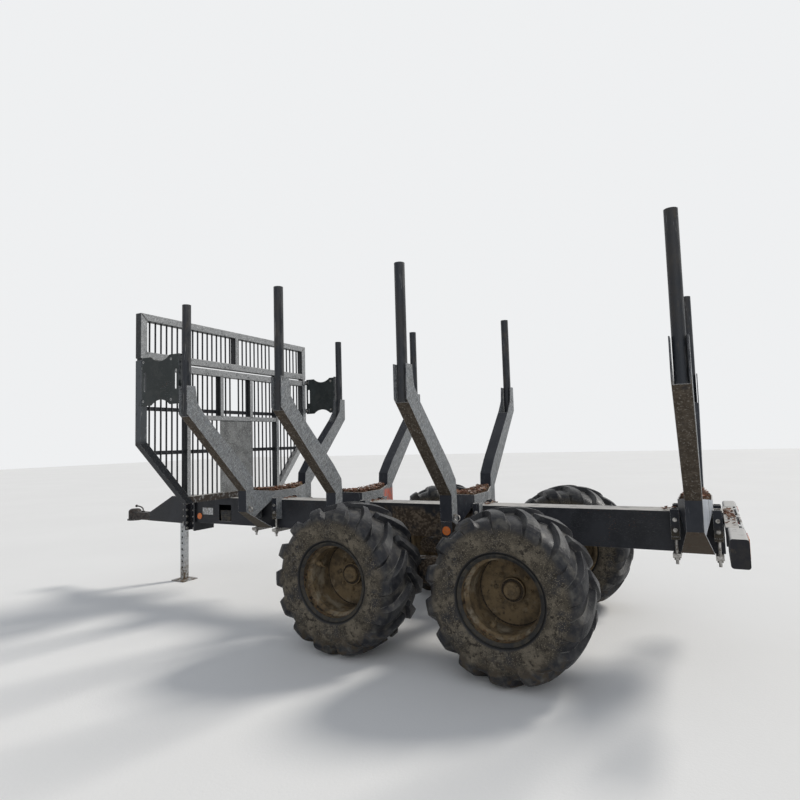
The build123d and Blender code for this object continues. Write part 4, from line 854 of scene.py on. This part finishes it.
# A side plate closes the gap between the headboard and the first bunk on each side. It is cut from sheet
# with two slots and a flange. Its bolts have countersunk heads outside and nuts on the headboard's tabs.
PLATE_PAINT = (0.016, 0.020, 0.020)
side_low, side_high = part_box("side_plate_left")
TAB_LENGTH, TAB_HOLE = 0.064, 0.030
FLANGE_HOLE = 0.106
SHEET, SHEET_AND_TAB = 0.008, 0.018
PLATE_BOLT_RADIUS = 0.0115
PLATE_BOLT_HEIGHTS = (side_high.z - 0.044, side_high.z - 0.426)
PLATE_BOLT_ROWS = ((head_high.x - HEAD_DEPTH - TAB_LENGTH + TAB_HOLE, SHEET_AND_TAB),
                   (side_low.x + FLANGE_HOLE, SHEET))
BOLT_FACE = ((0.012, (0.30, 0.295, 0.285), 0.4), (0.005, (0.010, 0.010, 0.010), 0.8))
paint = weathered(Finish("green_grey_plate_paint", PLATE_PAINT, 0.42), 0.8, (2.0, 2.0, 9.0))
paint.patches((0.15, 0.50, 0.68), (0.034, 0.037, 0.036), 0.5)
paint.patches((0.06, 0.35, 0.55), BUNK_GREY, 0.6, within=paint.towards(BACK, 0.5, 0.9))
for x, _ in PLATE_BOLT_ROWS:
    for z in PLATE_BOLT_HEIGHTS:
        spot = paint.vector("ADD", paint.place, (-x, 0.0, -z))
        spot = paint.vector("MULTIPLY", spot, (1.0, 0.0, 1.0))
        from_bolt = paint.vector("LENGTH", spot)
        for radius, colour, roughness in BOLT_FACE:
            on_face = paint.less(paint.spread(from_bolt, radius, radius + 0.001))
            paint.coat(on_face, colour, roughness)
plate_paint = paint.done()
plate_bolts = bmesh.new()
for name, side in (("side_plate_left", 1), ("side_plate_right", -1)):
    finish_node(name, plate_paint, 0.002)
    for z in PLATE_BOLT_HEIGHTS:
        for x, depth in PLATE_BOLT_ROWS:
            spot = (x, side * (side_high.y - depth), z)
            bolt(plate_bolts, spot, (0, -side, 0), PLATE_BOLT_RADIUS, nut=True)
add_piece("side_plate_bolts", plate_bolts, zinc)

# The bogie is hidden behind the wheels: a saddle under the beam carries a cross tube, and a walking beam
# of welded plate on each end of the tube carries two stub axles. All of it is under a crust of mud.
PIVOT_FACE = 0.615
PIVOT_BOLTS, PIVOT_BOLT_CIRCLE = 6, 0.062
PIVOT_BOLT_RADIUS, SADDLE_BOLT_RADIUS = 0.008, 0.009
SADDLE_BOLTS_X = (-0.065, 0.065)
SADDLE_BOLTS_Y = (0.128, 0.152)
paint = weathered(Finish("muddy_bogie_paint", ANTHRACITE, 0.4), 0.9)
muddy(paint, 1.0, 0.10)
bogie_paint = paint.done()
for part in ("bogie_axle", "bogie_beam_left", "bogie_beam_right"):
    finish_node(part, bogie_paint, 0.003)
axle_low, axle_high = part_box("bogie_axle")
walker_low, walker_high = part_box("bogie_beam_left")
bogie_x = (axle_low.x + axle_high.x) / 2
wheel_z = (walker_low.z + walker_high.z) / 2
covers = bmesh.new()
cover_bolts = bmesh.new()
for side in (1, -1):
    disc(covers, (bogie_x, side * (PIVOT_FACE - 0.002), wheel_z), (0, side, 0), 0.085, 0.014, 40)
    disc(covers, (bogie_x, side * PIVOT_FACE, wheel_z), (0, side, 0), 0.040, 0.022, 32, 0.034)
    for n in range(PIVOT_BOLTS):
        angle = 2 * pi * n / PIVOT_BOLTS
        bolt(cover_bolts, (bogie_x + PIVOT_BOLT_CIRCLE * cos(angle), side * (PIVOT_FACE + 0.012),
                           wheel_z + PIVOT_BOLT_CIRCLE * sin(angle)), (0, side, 0), PIVOT_BOLT_RADIUS)
    for dx in SADDLE_BOLTS_X:
        for y in SADDLE_BOLTS_Y:
            bolt(cover_bolts, (bogie_x + dx, side * y, axle_high.z - 0.025), DOWN, SADDLE_BOLT_RADIUS)
add_piece("pivot_covers", covers, bogie_paint)
add_piece("bogie_bolts", cover_bolts, zinc)

# The tyres are wide forestry tyres with heavy slanted lugs, narrow at the tread's middle and broad at the
# shoulder, where they run out on the sidewall. The tread is dark with worn lug faces, mud sits between the
# lugs, and the sidewall is dusty brown with a darker ring at the rim.
TYRE_LUGS = 14
LUG_HEIGHT = 0.045
TYRE_PROFILE = ((0.000, 0.541), (0.100, 0.540), (0.185, 0.531), (0.235, 0.510), (0.268, 0.475),
                (0.287, 0.430), (0.2905, 0.395), (0.284, 0.360), (0.281, 0.350), (0.272, 0.334),
                (0.2560, 0.3085), (0.2430, 0.3050), (0.2427, 0.2860))
TYRE_INSIDE = ((0.195, 0.2860), (0.235, 0.335), (0.262, 0.400), (0.240, 0.465), (0.190, 0.500),
               (0.0, 0.512))
TYRE_STEPS = 126
LUG_START, LUG_SHOULDER, LUG_END = -0.020, 0.245, 0.345
LUG_LEAD, LEAD_ENDS, LEAD_RADIUS = 0.215, 0.30, 0.56
LUG_MIDDLE, LUG_BROAD = 0.024, 0.054
LUG_FOOT = 0.006
TYRE_HALF_WIDTH, TYRE_RADIUS = 0.2995, 0.586
WALL_STEPS = 60
TYRE_TURNS = {"front": 77.5, "rear": 69.0}


def smooth_line(points, count):
    """Points at equal steps on a smooth line through the given ones."""
    line = smooth_curve(points, 12)
    lengths = [0.0]
    for a, b in zip(line, line[1:]):
        lengths.append(lengths[-1] + (b - a).length)
    even = []
    for n in range(count + 1):
        goal = lengths[-1] * n / count
        i = max(j for j in range(len(lengths)) if lengths[j] <= goal + 1e-9)
        if i >= len(line) - 1:
            even.append(line[-1].copy())
        else:
            even.append(line[i].lerp(line[i + 1], (goal - lengths[i]) / (lengths[i + 1] - lengths[i])))
    return even, lengths[-1]


wall_line, wall_length = smooth_line(TYRE_PROFILE, WALL_STEPS)


def on_wall(s):
    """Point (y, r) and outward normal of the tyre's outside, at a distance from its middle."""
    side = 1.0 if s >= 0 else -1.0
    t = min(abs(s) / wall_length, 0.999) * WALL_STEPS
    i = int(t)
    point = wall_line[i].lerp(wall_line[i + 1], t - i)
    way = (wall_line[min(i + 2, WALL_STEPS)] - wall_line[max(i - 1, 0)]).normalized()
    return Vector((point.x * side, point.y)), Vector((-way.y * side, way.x))


def to_wheel(y, r, angle):
    """A point from its place along the axle, its distance from the axle and its angle."""
    return Vector((r * cos(angle), y, r * sin(angle)))


def make_lug(mesh, side, angle):
    """One lug, narrow and slanted at the tread's middle, broad at the shoulder, faded on the sidewall."""
    rows = []
    count = 20
    for k in range(count + 1):
        s = LUG_START + (LUG_END - LUG_START) * k / count
        along = min(max(s / LUG_SHOULDER, 0.0), 1.0)
        shift = -LUG_LEAD * (1.0 - min(max(s / LEAD_ENDS, 0.0), 1.0)) ** 1.35
        past = min(max((s - LUG_SHOULDER) / (LUG_END - LUG_SHOULDER), 0.0), 1.0)
        fade = 1.0 - past * past * (3.0 - 2.0 * past)
        top = LUG_MIDDLE + (LUG_BROAD - LUG_MIDDLE) * along ** 1.3
        foot = top + 0.012 + 0.022 * along - 0.018 * past
        height = LUG_HEIGHT * fade - 0.004 * (1.0 - fade)
        if k == 0:
            height, top, foot = 0.006, top * 0.6, foot * 0.8
        point, normal = on_wall(s)
        row = []
        for offset in (-foot, -top, 0.0, top, foot):
            lift = -LUG_FOOT if abs(offset) == foot else height
            y = max(-TYRE_HALF_WIDTH, min(TYRE_HALF_WIDTH, point.x + normal.x * lift))
            r = min(point.y + normal.y * lift, TYRE_RADIUS)
            row.append(mesh.verts.new(to_wheel(side * y, r, angle + (shift + offset) / LEAD_RADIUS)))
        rows.append(row)
    for one, other in zip(rows, rows[1:]):
        for i in range(4):
            mesh.faces.new((one[i], one[i + 1], other[i + 1], other[i]))
    mesh.faces.new(rows[0])
    mesh.faces.new(rows[-1])


def make_tyre(turn):
    """Casing and lugs of one tyre about the origin, with Y as its axle."""
    mesh = bmesh.new()
    half = [Vector(p) for p in wall_line[::2]] + [Vector(p) for p in TYRE_INSIDE]
    ring_line = half + [Vector((-p.x, p.y)) for p in reversed(half[1:-1])]
    rings = []
    for k in range(TYRE_STEPS):
        rings.append([mesh.verts.new(to_wheel(p.x, p.y, 2 * pi * k / TYRE_STEPS)) for p in ring_line])
    skin(mesh, rings, True)
    for n in range(TYRE_LUGS):
        make_lug(mesh, 1.0, radians(turn) + 2 * pi * n / TYRE_LUGS)
        make_lug(mesh, -1.0, radians(turn) + 2 * pi * (n + 0.5) / TYRE_LUGS)
    bmesh.ops.recalc_face_normals(mesh, faces=mesh.faces)
    return mesh


rubber = Finish("dusty_tyre_rubber", (0.012, 0.013, 0.016), 0.34)
from_axle = rubber.measure((1.0, 0.0, 1.0))
from_middle = rubber.measure(LEFT)
rubber.patches((0.05, 0.40, 0.62), (0.022, 0.022, 0.025), 0.5)
on_lugs = rubber.spread(from_axle, 0.548, 0.566)
rubber.patches((0.12, 0.42, 0.74), (0.052, 0.052, 0.051), 0.42, within=on_lugs)
rubber.worn_edges(0.010, (0.08, 0.38, 0.58), (0.22, 0.215, 0.20), 0.5)
between_lugs = rubber.band(from_axle, 0.47, 0.50, 0.540, 0.556)
rubber.patches((0.09, 0.42, 0.72), (0.085, 0.080, 0.071), 0.45, within=between_lugs)
sidewall = rubber.band(from_axle, 0.314, 0.330, 0.445, 0.500)
rubber.patches((0.22, 0.34, 0.56), (0.060, 0.051, 0.038), 0.8, within=sidewall)
rubber.patches((0.14, 0.46, 0.64), (0.135, 0.115, 0.086), 0.85, within=sidewall)
rubber.patches((0.04, 0.50, 0.64), (0.028, 0.024, 0.019), 0.85, within=sidewall)
rubber.patches((0.008, 0.54, 0.64), (0.165, 0.141, 0.106), 0.9, within=sidewall)
shoulder = rubber.both(rubber.spread(from_axle, 0.43, 0.47), rubber.spread(from_middle, 0.20, 0.27))
rubber.patches((0.10, 0.52, 0.70), (0.046, 0.040, 0.032), 0.6, within=shoulder)
low_mud = rubber.along(DOWN, 0.28, 0.50)
rubber.patches((0.05, 0.45, 0.62), (0.058, 0.046, 0.033), 0.9, within=low_mud)
rubber.coat(rubber.band(from_axle, 0.300, 0.304, 0.314, 0.318), (0.008, 0.008, 0.008), 0.6)
rubber.relief(rubber.both(sidewall, rubber.grain(0.02, 0.35, 0.65)), 0.003)
rubber.texture(0.006, 0.0006)
rubber = rubber.done()
wheel_centres = {}
for side_name, side in (("left", 1), ("right", -1)):
    for axle_name, turn in TYRE_TURNS.items():
        name = f"tyre_{axle_name}_{side_name}"
        body = f"wheel_{axle_name}_{side_name}"
        low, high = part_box(name)
        shape = make_tyre(turn)
        bmesh.ops.scale(shape, vec=(1.0, side, 1.0), verts=shape.verts)
        centre = (low + high) / 2
        wheel_centres[axle_name, side_name] = centre
        tyre = add_piece(name + "_tread", shape, rubber, body, centre, 0.0)
        round_edges(tyre, 0.006, 28.0)
        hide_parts(name)

# The rims are rolled steel barrels with a welded disc, bolted to the hubs with eight nuts. They are brown
# with dried mud, the flange is worn dark, and rust and tar spots sit low in the barrel. Each has a valve
# boss, and each hub ends in a pressed grease cap.
RIM_MUD = (0.155, 0.112, 0.062)
WHEEL_NUTS, NUT_RADIUS, NUT_CIRCLE = 8, 0.0155, 0.128
DISC_FACE = -0.070
CAP_FACE = -0.010
BARREL_RADIUS = 0.253
VALVES = {"rear": (296.6, 0.086), "front": (24.2, 0.108)}
CAP_SLOTS, CAP_SLOT_RADIUS = 4, 0.040
WHEEL_BEADS = ((BARREL_RADIUS - 0.002, DISC_FACE, 0.0055, 72), (0.076, DISC_FACE + 0.035, 0.0045, 48))
AXLE_FROM_MIDDLE = 0.683


def wheel_measure(finish):
    """Distance from the axle of the nearest wheel."""
    place = finish.vector("ADD", finish.place, (-bogie_x, 0.0, -wheel_z))
    place = finish.vector("ABSOLUTE", place)
    place = finish.vector("ADD", place, (-AXLE_FROM_MIDDLE, 0.0, 0.0))
    place = finish.vector("MULTIPLY", place, (1.0, 0.0, 1.0))
    return finish.vector("LENGTH", place)


def rim_finish(name):
    """Dried mud over dark paint."""
    finish = Finish(name, RIM_MUD, 0.85)
    finish.patches((0.12, 0.40, 0.62), (0.080, 0.060, 0.037))
    finish.patches((0.03, 0.57, 0.70), (0.055, 0.041, 0.027))
    finish.patches((0.08, 0.56, 0.72), (0.18, 0.142, 0.092))
    finish.specks((0.03, 0.02, 0.22), (0.2, 0.46, 0.58), RUST, 0.9)
    finish.texture(0.03, 0.0015)
    finish.texture(0.004, 0.0004)
    return finish


paint = rim_finish("muddy_rim_paint")
outward = paint.measure(LEFT)
out_of_disc = paint.band(outward, 0.93, 1.02, 1.17, 1.19)
paint.patches((0.10, 0.46, 0.70), (0.235, 0.200, 0.146), within=out_of_disc)
near_lip = paint.spread(outward, 1.12, 1.19)
paint.patches((0.035, 0.50, 0.60), (0.020, 0.017, 0.015), 0.6, within=near_lip)
paint.patches((0.02, 0.56, 0.64), RUST, 0.9, within=near_lip)
lip = paint.spread(outward, 1.214, 1.219)
paint.coat(lip, (0.015, 0.015, 0.015), 0.45)
paint.patches((0.05, 0.40, 0.64), (0.046, 0.040, 0.031), 0.8, within=lip)
rim_paint = paint.done()
paint = rim_finish("muddy_hub_paint_and_shade_ring")
radius = wheel_measure(paint)
# The dark ring round the hub is painted shade.
paint.coat(paint.band(radius, 0.062, 0.064, 0.076, 0.080), (0.045, 0.034, 0.024), 0.9)
hub_paint = paint.done()
wheel_mud = rim_finish("muddy_wheel_fittings").done()
dark_joint = (Finish("dark_wheel_joint", (0.022, 0.018, 0.014), 0.9)
              .patches((0.01, 0.45, 0.6), (0.07, 0.052, 0.036))
              .done())


for (axle_name, side_name), centre in wheel_centres.items():
    body = f"wheel_{axle_name}_{side_name}"
    side = 1 if side_name == "left" else -1
    finish_node(f"rim_{axle_name}_{side_name}", rim_paint, 0.002)
    finish_node(f"hub_{axle_name}_{side_name}", hub_paint, 0.002)
    fittings = bmesh.new()
    for n in range(WHEEL_NUTS):
        angle = radians(4.0 + 360.0 * n / WHEEL_NUTS)
        bolt(fittings, to_wheel(DISC_FACE, NUT_CIRCLE, angle), LEFT, NUT_RADIUS, nut=True)
    angle, y = VALVES[axle_name]
    foot = to_wheel(y, BARREL_RADIUS + 0.004, radians(angle))
    inward = -to_wheel(0.0, 1.0, radians(angle))
    disc(fittings, foot, inward, 0.023, 0.042, 24, 0.020)
    disc(fittings, foot + inward * 0.042, inward, 0.012, 0.010, 6)
    disc(fittings, foot + inward * 0.052, inward, 0.0055, 0.022, 12)
    disc(fittings, to_wheel(CAP_FACE - 0.001, 0.0, 0.0), LEFT, 0.030, 0.0035, 32, 0.026)
    for n in range(CAP_SLOTS):
        angle = radians(45.0 + 90.0 * n)
        place = Matrix.Translation(to_wheel(CAP_FACE, CAP_SLOT_RADIUS, angle))
        place = place @ Matrix.Rotation(-angle, 4, "Y") @ Matrix.Diagonal((0.014, 0.003, 0.006, 1.0))
        bmesh.ops.create_cube(fittings, size=1.0, matrix=place)
    joints = bmesh.new()
    for radius, y, wire, steps in WHEEL_BEADS:
        hoop(joints, Matrix.Translation((0.0, y, 0.0)) @ lay_along(LEFT), radius, wire, steps, 8)
    for name, mesh, material in (("fittings", fittings, wheel_mud), ("joints", joints, dark_joint)):
        bmesh.ops.scale(mesh, vec=(1.0, side, 1.0), verts=mesh.verts)
        add_piece(f"wheel_{name}_{axle_name}_{side_name}", mesh, material, body, centre)

# The light bar is a square tube across the beam's end, closed by a deep end plate on each side that carries
# a lamp housing, with a bright guard rail behind its top. The housings are black plastic boxes with red and
# orange lenses held by screws. Sun and dust have bleached all the tops, and leaves lie there.
LENS_RED = (0.36, 0.010, 0.010)
LENS_ORANGE = (0.62, 0.17, 0.015)
LENS_SPLIT = 0.762
LENS_SCREW_INSET = 0.012
BAR_LEAVES = 46
LEAVES_AT = (-0.10, 0.17)
bar_low, bar_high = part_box("light_bar")
lens_low, lens_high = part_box("tail_lenses")
finish_node("light_bar", drawbar_paint, 0.004)
metal = Finish("bright_guard_rail", (0.46, 0.46, 0.45), 0.35, 0.75)
metal.coat(metal.flecks(0.02, 0.0, 0.9), (0.34, 0.34, 0.34), 0.5)
metal.patches((0.06, 0.52, 0.64, (1.0, 0.3, 1.0)), (0.13, 0.12, 0.11), 0.7)
metal.specks((0.02, 0.02, 0.22), (0.2, 0.50, 0.60), RUST, 0.8)
metal.texture(0.004, 0.0003)
finish_node("light_guard", metal.done(), 0.002)
plastic = Finish("grey_housing_plastic", (0.012, 0.012, 0.015), 0.55)
plastic.patches((0.05, 0.42, 0.66), (0.020, 0.019, 0.019), 0.6)
plastic.patches((0.08, 0.1, 0.42), (0.50, 0.49, 0.47), 0.9, within=plastic.towards(UP, 0.3, 0.9))
plastic.patches((0.04, 0.60, 0.72), (0.050, 0.042, 0.034), 0.9)
plastic.coat(plastic.edges(0.004), (0.16, 0.16, 0.16), 0.6)
plastic.texture(0.002, 0.0002)
housing_plastic = plastic.done()
finish_node("lamp_housings", housing_plastic, 0.002)
plastic = Finish("ribbed_lens_plastic", LENS_RED, 0.18, shine=0.5)
outward = plastic.measure(LEFT)
plastic.coat(plastic.spread(outward, LENS_SPLIT, LENS_SPLIT + 0.001), LENS_ORANGE)
plastic.patches((0.05, 0.45, 0.66), (0.17, 0.10, 0.07), 0.5)
plastic.relief(plastic.flecks(0.006, 0.0, 0.9), 0.0004)
finish_node("tail_lenses", plastic.done(IOR=1.49), 0.003)
lamp_trim = bmesh.new()
lens_end = lens_high.y - LENS_SCREW_INSET
for side in (1, -1):
    for y in (lens_end, LENS_SPLIT, 2 * LENS_SPLIT - lens_end):
        for z in (lens_low.z + LENS_SCREW_INSET, lens_high.z - LENS_SCREW_INSET):
            disc(lamp_trim, (lens_low.x + 0.0008, side * y, z), BACK, 0.0045, 0.0008, 16)
add_piece("lamp_trim", lamp_trim, housing_plastic)
bar_leaves = bmesh.new()
for n in range(BAR_LEAVES):
    leaf(bar_leaves, (chance.uniform(bar_low.x + 0.012, bar_high.x - 0.012), chance.gauss(*LEAVES_AT),
                      bar_high.z + 0.004), chance.uniform(*LEAF_LENGTH), chance)
leafy("bar_leaves", bar_leaves)

# Round orange reflectors stand on hanging plates under the third bunk and on the beam's sides. Each has a
# black ring, and the plates are painted like the beam.
finish_node("reflector_brackets", drawbar_paint, 0.002)
plastic = Finish("orange_reflector", (0.62, 0.14, 0.018), 0.2, shine=0.5)
plastic.patches((0.02, 0.45, 0.66), (0.36, 0.11, 0.03), 0.5)
plastic.coat(plastic.flecks(0.005, 0.05, 0.5), (0.72, 0.20, 0.03))
plastic.relief(plastic.flecks(0.005, 0.0, 0.9), 0.0004)
finish_node("side_reflectors", plastic.done(IOR=1.49), 0.002)
reflector_rings = bmesh.new()
reflector_low, reflector_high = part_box("side_reflectors")
hanger_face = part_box("reflector_brackets")[1].y
RING_RADIUS, RING_DEPTH = 0.041, 0.0055
REFLECTOR_RADIUS = 0.036
REFLECTORS = ((reflector_low.x + REFLECTOR_RADIUS, hanger_face, reflector_high.z - REFLECTOR_RADIUS),
              (reflector_high.x - REFLECTOR_RADIUS, beam_high.y, reflector_low.z + REFLECTOR_RADIUS))
for side in (1, -1):
    for x, y, z in REFLECTORS:
        disc(reflector_rings, (x, side * (y - 0.001), z), (0, side, 0), RING_RADIUS, RING_DEPTH, 40,
             RING_RADIUS - 0.002)
add_piece("reflector_rings", reflector_rings, chock_plastic)
